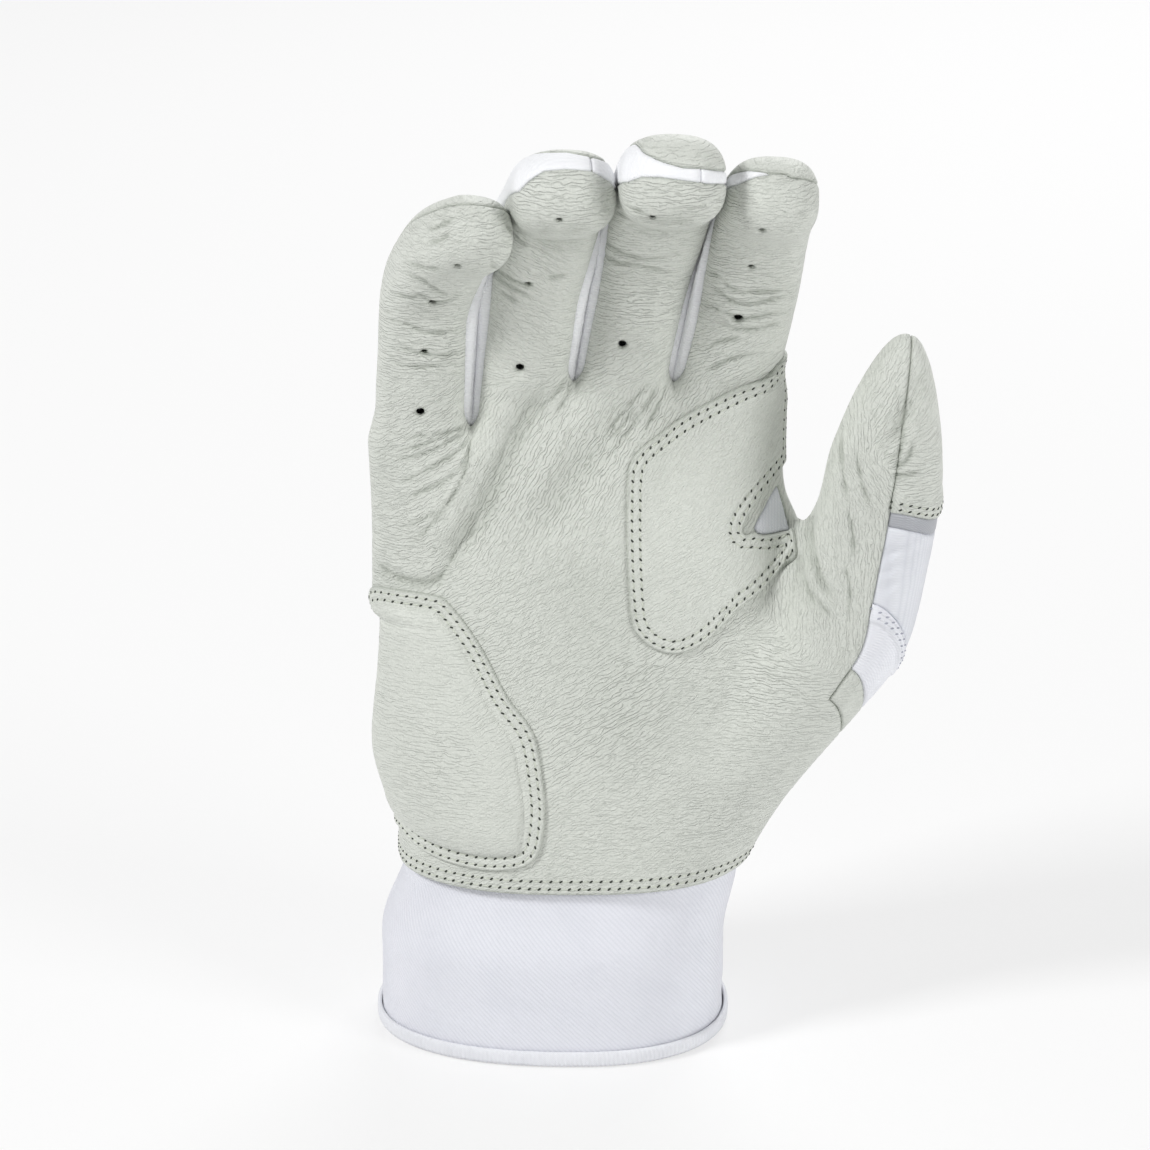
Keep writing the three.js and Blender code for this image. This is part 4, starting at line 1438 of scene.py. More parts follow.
@dataclass(frozen=True)
class SheepskinFinish:
    """Tanned sheepskin, worn and wetted on a hand: it dries into dense wrinkles with thin dark valleys.

    Fine pores and a soft low gloss lie on top. The wrinkles' valleys, the pores, the creases and the panel
    edges get painted shade. Sizes are in millimetres.
    """

    name: str = "tanned_sheepskin"
    colour: str = "#DADDD6"
    # The colour that the painted shade and the stains blend towards.
    deep: str = "#868D81"
    pore: float = 0.55
    pore_depth: float = 0.04
    wrinkle: float = 0.74
    wrinkle_length: float = 2.2
    wrinkle_edge: float = 0.7
    wander: float = 1.8
    wrinkle_depth: float = 0.18
    wrinkle_shade: float = 0.31
    drift: float = 4.5
    drift_by: float = 1.3
    stain: float = 12.0
    pore_shade: float = 0.12
    crease_shade: float = 0.9
    roughness: float = 0.55

    def build(self) -> Material:
        """Makes the material.

        Returns:
            The material.
        """
        s = Surface(self.name, self.roughness, 0.35, Sheen_Weight=0.1, Sheen_Roughness=0.5)
        cell = s.stretched(s.place, (self.drift * MM,) * 3)
        drift = s.add("ShaderNodeTexNoise", None, {"Vector": cell, "Scale": 1.0})
        moved = {0: drift.outputs["Color"], 1: (self.drift_by * MM,) * 3, 2: s.place}
        bent = s.add("ShaderNodeVectorMath", {"operation": "MULTIPLY_ADD"}, moved)
        axes = s.add("ShaderNodeSeparateXYZ", None, {0: bent.outputs[0]}).outputs
        flat = s.add("ShaderNodeCombineXYZ", None, {"X": axes["X"], "Y": axes["Z"]}).outputs[0]
        height: object = 0.0
        total: object = 0.0
        size = (self.wrinkle_length * MM, self.wrinkle * MM, 1.0)
        for group in range(2):
            weights = s.add("ShaderNodeSeparateXYZ", None, {0: s.vector(f"ways_{group}")}).outputs
            for k, weight in enumerate(weights):
                turned = s.stretched(flat, size, (0, 0, -30 * (3 * group + k)))
                crest = s.math("SUBTRACT", 1.0, self.valleys(s, turned))
                height = s.math("MULTIPLY_ADD", crest, weight, height)
                total = s.math("ADD", weight, total)
        pebble = s.ramp(s.cells(self.pore), 0.1, 0.75, 1.0, 0.0)
        normal = s.bump(pebble, self.pore_depth, s.bump(height, self.wrinkle_depth))
        broad = s.clouds(self.stain, 3.0)
        # Painted shade in the wrinkles' valleys, in the pores, in creases and along panel edges; the stain is
        # random tone of the leather.
        valley = s.math("MULTIPLY", s.math("SUBTRACT", total, height), self.wrinkle_shade)
        stain = s.ramp(broad, 0.4, 0.75, 0.0, 0.03)
        pits = s.math("MULTIPLY_ADD", s.math("SUBTRACT", 1.0, pebble), self.pore_shade, stain)
        crease = s.math("MULTIPLY", s.value("crease"), self.crease_shade)
        share = s.math("ADD", s.math("ADD", crease, pits), valley, clamp=True)
        gloss = s.math("MULTIPLY_ADD", broad, 0.2, self.roughness - 0.1)
        return s.finish(s.blend(share, linear(self.colour), linear(self.deep)), normal, gloss)

    def valleys(self, s: Surface, place: Socket) -> Socket:
        """One way's wrinkles.

        Args:
            s: The material under way.
            place: Flat coordinates in wrinkle lengths along and wrinkle widths across.

        Returns:
            The depth, from 0 between the wrinkles to 1 in their valleys.
        """
        inputs = {"Vector": place, "Scale": 0.8, "Detail": 1.0}
        cloud = s.add("ShaderNodeTexNoise", {"noise_dimensions": "2D"}, inputs).outputs["Color"]
        shares = s.add("ShaderNodeSeparateColor", None, {0: cloud}).outputs
        across = s.add("ShaderNodeSeparateXYZ", None, {0: place}).outputs["Y"]
        phase = s.math("MULTIPLY_ADD", shares[0], self.wander, across)
        line = s.math("ABSOLUTE", s.math("SINE", s.math("MULTIPLY", phase, math.pi)))
        deep = s.ramp(line, 0.0, self.wrinkle_edge, 1.0, 0.0)
        return s.math("MULTIPLY", deep, s.ramp(shares[1], 0.3, 0.52, 0.35, 1.0))


class Weave(Enum):
    """How a fabric is made."""

    PLAIN = "plain"
    TWILL = "twill"
    KNIT = "knit"
    RIB = "rib"
    MESH = "mesh"
    PILE = "pile"


@dataclass(frozen=True)
class FabricFinish:
    """A fabric of threads at a set spacing: matt, with shade between the threads."""

    name: str
    weave: Weave
    colour: str = "#F3F4F9"
    deep: str = "#C9CCD6"
    pitch: float = 0.8
    depth: float = 0.12
    shade: float = 0.35
    roughness: float = 0.85
    sheen: float = 0.25
    metallic: float = 0.0
    fuzz: float = 0.35
    stain: float = 11.0

    def build(self) -> Material:
        """Makes the material.

        Returns:
            The material.
        """
        s = Surface(self.name, self.roughness, 0.3, Sheen_Weight=self.sheen, Metallic=self.metallic)
        cloth = s.stretched(s.vector("cloth"), (self.pitch,) * 3)
        x, y, _ = s.add("ShaderNodeSeparateXYZ", None, {0: cloth}).outputs
        height = self.threads(s, x, y)
        fuzz = s.clouds(self.fuzz, 3.0, 0.6)
        broad = s.clouds(self.stain)
        normal = s.bump(fuzz, self.depth * 0.5, s.bump(height, self.depth))
        # Painted shade between the threads, in creases and along panel edges; the broad stain is random tone.
        low = s.math("MULTIPLY", s.math("SUBTRACT", 1.0, height), self.shade)
        share = s.math("ADD", low, s.math("MULTIPLY", s.value("crease"), 0.8))
        share = s.math("ADD", share, s.ramp(broad, 0.4, 0.8, 0.0, 0.12), clamp=True)
        return s.finish(s.blend(share, linear(self.colour), linear(self.deep)), normal)

    def threads(self, s: Surface, x: object, y: object) -> Socket:
        """The height of the threads in coordinates of one thread's pitch.

        Args:
            s: The material under way.
            x: The coordinate across.
            y: The coordinate along.

        Returns:
            A height from 0 to 1.
        """

        def wave(t: object) -> Socket:
            """A round wave from 0 to 1, once for each unit."""
            return s.math("MULTIPLY_ADD", s.math("SINE", s.math("MULTIPLY", t, 2 * math.pi)), 0.5, 0.5)

        def ridges(rows: Socket, notches: Socket, share: float) -> Socket:
            """Round ridges, cut down by a share along their length."""
            return s.math("MULTIPLY", s.math("SQRT", rows), s.math("MULTIPLY_ADD", notches, share, 1 - share))

        if self.weave is Weave.TWILL:
            rows = wave(s.math("MULTIPLY", s.math("ADD", x, y), 0.7))
            return ridges(rows, wave(s.math("SUBTRACT", x, y)), 0.3)
        if self.weave is Weave.KNIT:
            return ridges(wave(x), wave(s.math("MULTIPLY_ADD", s.math("PINGPONG", x, 0.5), 1.4, y)), 0.5)
        if self.weave is Weave.RIB:
            return ridges(wave(x), wave(s.math("MULTIPLY", y, 2.0)), 0.15)
        if self.weave is Weave.MESH:
            shifted = s.math("ADD", x, s.math("MULTIPLY", s.math("FLOOR", y), 0.5))
            ways = [s.math("SUBTRACT", s.math("FRACT", way), 0.5) for way in (shifted, y)]
            squares = [s.math("MULTIPLY", way, way) for way in ways]
            return s.ramp(s.math("SQRT", s.math("ADD", *squares)), 0.18, 0.34)
        if self.weave is Weave.PILE:
            return s.ramp(s.cells(self.pitch), 0.1, 0.8, 1.0, 0.0)
        over = s.math("MULTIPLY", wave(x), wave(y))
        under = wave(s.math("ADD", x, 0.5))
        return s.math("MAXIMUM", over, s.math("MULTIPLY", under, wave(s.math("ADD", y, 0.5))))


@dataclass(frozen=True)
class PlainFinish:
    """A smooth moulded or spun material with a fine broken surface."""

    name: str
    colour: str
    deep: str
    grit: float = 0.4
    depth: float = 0.03
    roughness: float = 0.6
    subsurface: float = 0.0
    stain: float = 6.0

    def build(self) -> Material:
        """Makes the material.

        Returns:
            The material.
        """
        more = {"Subsurface_Weight": self.subsurface, "Subsurface_Scale": 0.001}
        s = Surface(self.name, self.roughness, 0.45, **more)
        fine = s.clouds(self.grit, 3.0, 0.6)
        share = s.math("MULTIPLY_ADD", fine, 0.5, s.math("MULTIPLY", s.clouds(self.stain), 0.4), clamp=True)
        colour = s.blend(s.ramp(share, 0.2, 0.9), linear(self.colour), linear(self.deep))
        return s.finish(colour, s.bump(fine, self.depth))


def made(finish: SheepskinFinish | FabricFinish | PlainFinish) -> Material:
    """A field for the material that a finish makes."""
    return field(default_factory=finish.build)


@dataclass
class Finishes:
    """All the glove's finishes."""

    palm_leather: Material = made(SheepskinFinish())
    patch_leather: Material = made(
        SheepskinFinish("pressed_sheepskin", wrinkle_depth=0.12, wrinkle_shade=0.18)
    )
    back_leather: Material = made(
        SheepskinFinish("glove_back_sheepskin", wrinkle_depth=0.14, wrinkle_shade=0.25)
    )
    # The forks' knit is the stretch knit painted lighter: painted light in the deep gaps between the fingers.
    fork_knit_painted_light: Material = made(FabricFinish("fork_knit_painted_light", Weave.KNIT, "#FCFDFF", "#DDDFE8", 0.7, 0.08, 0.12))
    stretch_knit: Material = made(
        FabricFinish("stretch_knit", Weave.KNIT, "#E9EBF0", "#C2C5CF", 0.7, 0.1, 0.3)
    )
    rib_knit: Material = made(FabricFinish("rib_knit", Weave.RIB, pitch=1.8, depth=0.35))
    mesh_knit: Material = made(FabricFinish("spacer_mesh", Weave.MESH, pitch=1.9, depth=0.4, shade=0.7))
    padded_weave: Material = made(
        FabricFinish("padded_weave", Weave.PLAIN, pitch=0.7, depth=0.08, shade=0.25)
    )
    silver_weave: Material = made(FabricFinish(
        "silver_weave", Weave.PLAIN, "#B7B9BE", "#8F9298", 0.6, 0.06, 0.4, 0.42, sheen=0.1, metallic=0.35
    ))
    cuff_twill: Material = made(
        FabricFinish("cuff_twill", Weave.TWILL, "#E9EAF1", pitch=0.85, depth=0.09, shade=0.3)
    )
    binding_rib: Material = made(
        FabricFinish("binding_rib", Weave.PLAIN, "#F0F1F5", pitch=0.5, depth=0.06, shade=0.2)
    )
    strap_laminate: Material = made(
        FabricFinish("strap_laminate", Weave.PLAIN, "#E9EAEE", pitch=0.6, depth=0.05)
    )
    loop_pile: Material = made(FabricFinish("loop_pile", Weave.PILE, "#E4E5EA", "#B6B8C0", 0.7, 0.3, 0.5))
    hook_nylon: Material = made(PlainFinish("hook_nylon", "#E2E4E8", "#C6C9D0", subsurface=0.2))
    tab_rubber: Material = made(PlainFinish("moulded_rubber", "#CDCFD3", "#B9BBC0", 0.3, 0.04, 0.5))
    foam: Material = made(PlainFinish("closed_cell_foam", "#DEDEDA", "#C2C2BC", 0.8, 0.2, 0.9))
    thread: Material = made(PlainFinish("polyester_thread", "#D3D7CB", "#B3B9AB", 0.2, 0.03, 0.6))
    white_thread: Material = made(PlainFinish("white_thread", "#EBECF0", "#CDD0D7", 0.2, 0.03, 0.6))
    # Needle holes are beads on the surface, grey on fabric and near black on leather: painted shade inside
    # the holes.
    fabric_hole: Material = made(PlainFinish("fabric_needle_hole", "#AEB1BC", "#9EA1AD", 0.3, 0.02, 0.95))
    hole: Material = made(PlainFinish("needle_hole", "#3F433C", "#2C2F2A", 0.3, 0.02, 0.95))


@dataclass(frozen=True)
class Crease:
    """One crease in the leather, as its path in the picture, its half width, its depth and its shade."""

    path: tuple[Point, ...]
    width: float
    depth: float
    # The shade painted into the crease's valley.
    shade: float = 0.5
    shoulder: float = 0.3


@dataclass(frozen=True)
class Relief:
    """The leather's folds, read from the photograph, in millimetres from the picture's centre.

    Creases are its soft rolls and lines its sharp creases, both with shade painted into their valleys;
    creases without depth are only painted shade. Flow is the way in which the fine wrinkles run at a number
    of places, in degrees from level.
    """

    creases: tuple[Crease, ...] = (
        # These two have no depth: they are only painted shade, in the hollow of the palm and on the upper
        # palm.
        Crease(((2, 8), (7, -18), (20, -50)), 15, 0, 0.13, 0),
        Crease(((24, 44), (20, 30), (28, 20)), 9, 0, 0.08, 0),
        # These two are shallow hollows under the ring and middle fingertips, with painted shadow under the
        # pads.
        Crease(((-10.3, 78), (-4.4, 76.6), (3.9, 78.4)), 2.6, 0.7, 0.24, 0),
        Crease(((13.1, 80.7), (20, 79.6), (28.8, 81.2)), 2.4, 0.6, 0.2, 0),
        Crease(((70.4, 3.5), (74.8, 6.2), (80.5, 9)), 1.2, 0.5, 0.08, 0.4),
        Crease(((70.2, -0.5), (75.2, 3), (80.3, 6)), 1.2, 0.5, 0.08, 0.4),
        Crease(((69.9, -3.9), (74.8, -0.7), (79.1, 2.1)), 1.2, 0.4, 0.06, 0.4),
        Crease(((-5.3, 43.7), (-9.2, 38), (-13.8, 31.1), (-17.2, 24.2), (-19.6, 18.4), (-22.3, 12.7),
                (-26, 7.6), (-28.8, 3), (-30.6, -0.7)), 2.6, 1.5, 0.35, 0),
        Crease(((-22.3, 32), (-24.2, 24.2), (-26.9, 16.1), (-30.6, 9.2), (-33.8, 3.5)), 4.2, -1.5, 0, 0),
        Crease(((15, 43.7), (10.3, 35.6), (5.3, 28.8), (0, 21.9), (-6.2, 13.8),
                (-12.7, 5.8)), 4.5, 0.9, 0.16, 0),
        Crease(((-12.7, 46.7), (-16.1, 38), (-19.1, 33.4)), 3, -0.6, 0, 0),
        Crease(((5.8, 43.7), (0, 33.4), (-5.8, 24.2), (-12.7, 12.7)), 3.6, -0.6, 0, 0),
        Crease(((-45.3, 3), (-43, 0.2), (-39.1, -1.6), (-34.7, -2.3), (-31.7, -0.9),
                (-29.4, 2.5)), 1.3, 0.9, 0.35, 0.3),
        Crease(((54.5, 17.2), (53.8, 10.3), (54.7, 3.5), (56.8, -2.1), (59.6, -6.7)), 1.1, 1.2, 0.4, 0.5),
        Crease(((51.1, 6.9), (51.8, 0.7), (53.8, -4.8), (56.8, -9.9)), 1.8, 0.7, 0.2, 0.3),
        Crease(((49.5, 51.3), (46, 47.1), (39.1, 43), (28.8, 39.8)), 2.2, 0.6, 0.15, 0.2),
        Crease(((-41.4, 30.8), (-44.2, 24.2), (-43.9, 17.2)), 2.6, 0.5, 0.1, 0),
        Crease(((76.6, 41.4), (74.8, 34.5), (72.5, 28.3)), 1.6, 0.8, 0.2, 0.3),
        Crease(((79.8, 46.7), (78.2, 40.2), (75.9, 32.9)), 1.8, 0.5, 0.1, 0.2),
    )
    lines: tuple[tuple[Point, ...], ...] = (
        ((-42.6, 65.1), (-38, 63.7), (-35.6, 64.2), (-32.7, 62.6), (-28.8, 63.2), (-24.2, 65.8)),
        ((-39.1, 69.7), (-34.5, 67.2), (-31.1, 64.9), (-28.3, 63.7)),
        ((-43, 58.7), (-39.1, 57.7), (-33.4, 55.7), (-26, 56.4)),
        ((-41.4, 52.9), (-37.5, 51.3), (-31.1, 50.4), (-24.6, 51.8)),
        ((-42.6, 49), (-35.6, 47.8), (-27.6, 49)), ((-34.5, 78.9), (-31.1, 80.3), (-26.5, 83)),
        ((-34, 76.4), (-31.1, 77), (-28.3, 78.9)), ((-39.1, 72), (-34.5, 70.6), (-29.9, 70.2)),
        ((-24.2, 34.3), (-29.9, 32), (-35.6, 29.7), (-41.4, 28.3)),
        ((-23.7, 33.8), (-28.8, 30.8), (-33.4, 28.5), (-38, 27.1), (-42.6, 27.1)),
        ((-23.2, 33.4), (-26.5, 29), (-31.1, 25.8), (-36.8, 22.8), (-42.1, 20.5)),
        ((-23.2, 32.9), (-25.8, 26), (-29.7, 21.9), (-35.6, 19.1), (-41.4, 17.2)),
        ((-23.7, 31.1), (-25.5, 24.2), (-28.8, 17.2), (-34.5, 13.1), (-40.7, 10.8)),
        ((-25.1, 25.3), (-27.6, 19.6), (-32.2, 12.7), (-38, 6.9)),
        ((-23.9, 34.7), (-28.8, 33.1), (-34.5, 32), (-40.2, 31.5)),
        ((-6.9, 39.8), (-10.3, 35.6), (-13.8, 29.4), (-17.2, 23), (-19.8, 17.9), (-22.3, 12.2), (-25.8, 7.8),
         (-28.5, 2.8), (-31.1, -1.6), (-34.5, -3)),
        ((-9.2, 40.2), (-12.7, 34.7), (-15.9, 28.8), (-18.4, 23.2)),
        ((-1.8, 45.5), (-4.4, 41.4), (-6.9, 39.1), (-9.9, 34.5)), ((-1.2, 45.3), (-1.8, 41.2), (-4.4, 37)),
        ((18.4, 45.3), (12.7, 39.1), (8.1, 33.4), (3, 26)),
        ((19.6, 44.9), (16.1, 38), (10.8, 31.1), (5.8, 24.2)), ((21.4, 44.9), (19.6, 39.8), (15, 31.1)),
        ((13.8, 39.1), (10.8, 33.8), (5.8, 29.7)), ((-45.3, 3), (-43.5, 0.7), (-40.2, -1.2), (-35.6, -2.1)),
        ((-26.9, 6.4), (-29.4, 2.1), (-31.7, -1.4), (-34.5, -2.8)),
        ((-20.2, 72), (-17.2, 69.7), (-12.7, 67.2), (-8.1, 65.5)), ((-19.6, 70.6), (-15, 66.5), (-9.2, 63.5)),
        ((-6.2, 68.3), (-1.6, 68.8)), ((-17.2, 65.5), (-12.7, 62.3)),
        ((-15.6, 82.8), (-11.5, 78.9), (-6.9, 78)), ((-16.1, 81), (-12.7, 77), (-9.9, 75.7)),
        ((5.3, 74.8), (9.2, 72), (15, 71.1), (20.7, 69.7), (23.5, 69.2)),
        ((5.8, 77.5), (10.3, 74.3), (16.1, 72.5), (23.7, 73.8)), ((9.9, 85.6), (15, 83.3), (18.4, 81.9)),
        ((9, 83.5), (13.8, 81.7)), ((28.8, 70.6), (33.4, 68.5), (36.8, 65.5), (44.9, 65.1), (49.9, 66.9)),
        ((31.5, 66.7), (35.6, 63.2), (39.1, 62.3), (46, 63.5), (49.9, 65.5)),
        ((28.1, 62.8), (33.4, 61), (39.1, 58.9), (49.5, 61.4)), ((32.2, 58.2), (39.1, 56.4), (48.3, 58.2)),
        ((28.8, 51.3), (33.4, 53.6), (39.1, 54.5)), ((29.9, 46.7), (35.6, 49.5), (42.6, 51.3)),
        ((54.5, 15.4), (53.8, 9.2), (55, 3), (56.8, -2.1), (59.3, -6.4)),
        ((62.6, 15.4), (63.9, 8.5), (63.7, 3.5)), ((64.4, 28.8), (65.8, 21.4), (68.3, 14.5)),
        ((61, 33.4), (61.4, 24.2), (62.8, 15.4)), ((54.5, -3.5), (56.8, -7.1), (59.1, -9.9)),
        ((51.8, 0.7), (53.6, -4.4), (55.7, -7.6)), ((62.1, 2.3), (63.2, -3.5), (62.8, -10.3)),
        ((76.1, 33.4), (74.8, 28.3), (71.8, 26)), ((78.2, 31.1), (75.9, 26), (72.5, 24.6)),
        ((80.3, 24.2), (75.9, 22.8), (72, 23.2)), ((77.7, 40.7), (75.9, 34.5)),
        ((48.3, 50.4), (46, 46.9), (41.4, 44.4)), ((51.1, 6.2), (49.5, 3.5), (46.7, 0.2)),
    )
    flow: tuple[tuple[float, float, float], ...] = (
        (-40, 22, 10), (-36, 56, -4), (-31, 77, 15), (-33, 31, 20), (-31, 22, 32), (-29, 13, 42), (-40, 8, 5),
        (-20, 31, 75), (-26, 13, 60), (-13, 22, 60), (-3, 17, 55), (6, 29, 56), (15, 40, 66), (-3, -6, 40),
        (6, 3, 42), (10, -10, 34), (-13, -15, 38), (-13, -29, 40), (-3, -38, 26), (10, -29, 28),
        (29, -24, 12), (43, -20, 2), (52, -26, 0), (38, -38, 8), (15, -47, 16), (6, -59, 12), (29, -56, 10),
        (43, -29, 4), (-13, 56, -20), (-10, 72, -26), (15, 63, 0), (13, 47, 20), (40, 63, 0), (38, 52, 20),
        (29, 40, 50), (43, 79, 10), (17, 77, 0), (24, 3, 36), (33, 22, 42), (29, -10, 45), (20, -6, 30),
        (-33, -20, -10), (-29, -43, 0), (63, 33, 100), (67, 22, 112), (61, 6, 104), (59, -6, 112),
        (66, -6, 95), (52, -3, 98), (56, -15, 75), (76, 40, 60), (75, 31, 30), (79, 24, 0), (-3, 86, 0),
        (22, 89, 0), (63, 49, 80), (68, 3, 92),
    )
    foreshortening: float = 0.88
    flow_reach: float = 12.0
    facing_from: float = 0.05
    facing_over: float = 0.3
    line_width: float = 0.45
    line_depth: float = 0.32
    line_shade: float = 0.5
    line_shoulder: float = 0.45
    waver: float = 0.28
    waver_size: float = 2.2
    shoulder_at: float = 1.9
    fold: float = 0.07
    fold_shade: float = 0.1
    fold_sizes: tuple[float, float, float] = (10, 2.7, 9)
    fold_seeds: tuple[int, ...] = (23, 29, 11, 37, 41, 43)
    calm_share: float = 0.2
    taper_in: float = 0.18
    taper_out: float = 0.3
    taper_least: float = 0.15
    calm_size: float = 15.0
    swell: float = 0.2
    swell_size: float = 14.0

    def weights(self, survey: Survey) -> Array:
        """How much of the fine wrinkles runs each way, in steps of 30 degrees from level.

        Args:
            survey: The skin's corners.

        Returns:
            Six shares for each corner.
        """
        total = np.zeros((len(survey.flat), 2))
        for x, y, angle in self.flow:
            near = (((survey.flat - (x, y)) ** 2).sum(1) + self.flow_reach) ** -1.5
            angle = math.radians(angle)
            turn = 2 * math.atan2(math.sin(angle), self.foreshortening * math.cos(angle))
            total += near[:, None] * (math.cos(turn), math.sin(turn))
        way = np.degrees(np.arctan2(total[:, 1], total[:, 0])) / 2
        off = np.abs((way[:, None] - np.arange(0, 180, 30) + 90) % 180 - 90)
        return np.clip(1 - off / 30, 0, 1)

    def measure(self, survey: Survey) -> tuple[Array, Array, Array]:
        """Works out the relief at each corner of the skin.

        Args:
            survey: The measured skin.

        Returns:
            The rise, the shade painted into creases and folds, and the ways of the wrinkles.
        """
        points = survey.points
        rise, shade = np.zeros(len(points)), np.zeros(len(points))
        front = ease((survey.facing - self.facing_from) / self.facing_over)
        line = (self.line_width, self.line_depth, self.line_shade, self.line_shoulder)
        for crease in self.creases + tuple(Crease(path, *line) for path in self.lines):
            path = smooth_path(crease.path)
            middle, reach = (path.min(0) + path.max(0)) / 2, np.ptp(path, axis=0) / 2 + 4 * crease.width
            near = np.abs(survey.flat - middle) < reach
            rows = np.flatnonzero(near.all(1) & (front > 0))
            d, share = path_distance(survey.flat[rows], path)
            d = d + self.waver * noise(points[rows] / self.waver_size, 71)
            taper = ease(share / self.taper_in) * ease((1 - share) / self.taper_out)
            taper = taper * (1 - self.taper_least) + self.taper_least
            taper *= front[rows]
            valley = np.exp(-((d / crease.width) ** 2)) * taper
            ridge = np.exp(-(((d - self.shoulder_at * crease.width) / crease.width) ** 2)) * taper
            rise[rows] += crease.depth * (crease.shoulder * ridge - valley)
            # Painted shade in the crease's valley.
            shade[rows] = np.maximum(shade[rows], crease.shade * valley)
        weights = self.weights(survey)
        folds = 0.0
        for k, seed in enumerate(self.fold_seeds):
            c, s = math.cos(math.radians(30 * k)), math.sin(math.radians(30 * k))
            x, y, z = points.T
            turned = np.stack([x * c + z * s, z * c - x * s, y], axis=1) / self.fold_sizes
            folds = folds + weights[:, k] * folds_of(turned, seed)
        calm = 1 - self.calm_share + self.calm_share * ease(noise(points / self.calm_size, 5) + 0.5)
        folds = self.fold * folds * calm
        swell = self.swell * noise(points / self.swell_size, 61)
        # The folds' valleys get painted shade too.
        return rise - folds + swell, np.clip(shade + self.fold_shade * folds, 0, 1), weights * calm[:, None]


def isolines(points: Array, triangles: Array, values: Array, level: float) -> list[Array]:
    """Follows a level line over a mesh.

    Args:
        points: A row of numbers for each corner, carried along with its place.
        triangles: Three corners to a row.
        values: The value at each corner.
        level: The level that is followed.

    Returns:
        The lines found, longest first, as rows of the carried numbers.
    """
    f = values - level
    f = np.where(np.abs(f) < 1e-6, 1e-6, f)
    crossed = triangles[(f[triangles].min(1) < 0) & (f[triangles].max(1) > 0)]
    size = len(points)
    pairs = []
    for a, b in ((0, 1), (1, 2), (2, 0)):
        one, two = crossed[:, a], crossed[:, b]
        cut = f[one] * f[two] < 0
        pairs.append(np.where(cut, edge_keys(one, two, size), -1))
    ends = np.sort(np.stack(pairs, axis=1), axis=1)[:, 1:]
    names, links = np.unique(ends, return_inverse=True)
    links = links.reshape(-1, 2)
    one, two = names // size, names % size
    t = (f[one] / (f[one] - f[two]))[:, None]
    places = mix(points[one], points[two], t)
    beside: list[list[int]] = [[] for _ in names]
    for a, b in links.tolist():
        beside[a].append(b)
        beside[b].append(a)
    left = set(range(len(names)))
    lines = []
    while left:
        start = next(iter(left))
        halves = []
        left.discard(start)
        for first in beside[start][:2]:
            line, here = [], first
            while here in left:
                left.discard(here)
                line.append(here)
                here = next((k for k in beside[here] if k in left), -1)
            halves.append(line)
        halves += [[]] * (2 - len(halves))
        whole = halves[1][::-1] + [start] + halves[0]
        if len(whole) > 2 and whole[0] in beside[whole[-1]]:
            whole.append(whole[0])
        lines.append(places[whole])
    return sorted(lines, key=len, reverse=True)


def spaced(line: Array, pitch: float) -> Array:
    """A line of rows whose first three numbers are places, respaced to about one pitch.

    Args:
        line: The line's rows.
        pitch: The spacing wanted.

    Returns:
        The respaced rows.
    """
    steps = np.linalg.norm(np.diff(line[:, :3], axis=0), axis=1)
    marks = np.concatenate(([0.0], np.cumsum(steps)))
    count = max(int(round(marks[-1] / pitch)), 1)
    at = np.linspace(0, marks[-1], count + 1)
    return np.stack([np.interp(at, marks, line[:, k]) for k in range(line.shape[1])], axis=1)


LEAST_RING = 0.4


def rim_distance(sheet: Sheet, reach: float) -> Array:
    """How far each corner of a sheet lies from its open edge, up to a reach.

    Args:
        sheet: The sheet.
        reach: The distance at which it stops counting.

    Returns:
        One distance for each corner.
    """
    rim = sheet.rim()
    places = sheet.table[:, Columns.place]
    marks = np.vstack([places[rim[:, 0]], places[rim].mean(1)])
    tree = KDTree(len(marks))
    for i, mark in enumerate(marks.tolist()):
        tree.insert(mark, i)
    tree.balance()
    near = np.zeros(len(places), bool)
    near[rim.ravel()] = True
    for _ in range(int(reach / LEAST_RING) + 1):
        touched = near[sheet.triangles].any(1)
        near[sheet.triangles[touched].ravel()] = True
    out = np.full(len(places), reach)
    ids = np.flatnonzero(near)
    out[ids] = [min(tree.find(place)[2], reach) for place in places[ids].tolist()]
    out[rim.ravel()] = 0.0
    return out


@dataclass
class Cloth:
    """A sheet made into a panel: its outer face, and the distance of each corner from its edge."""

    sheet: Sheet
    outer: Array
    normals: Array
    rim_gap: Array


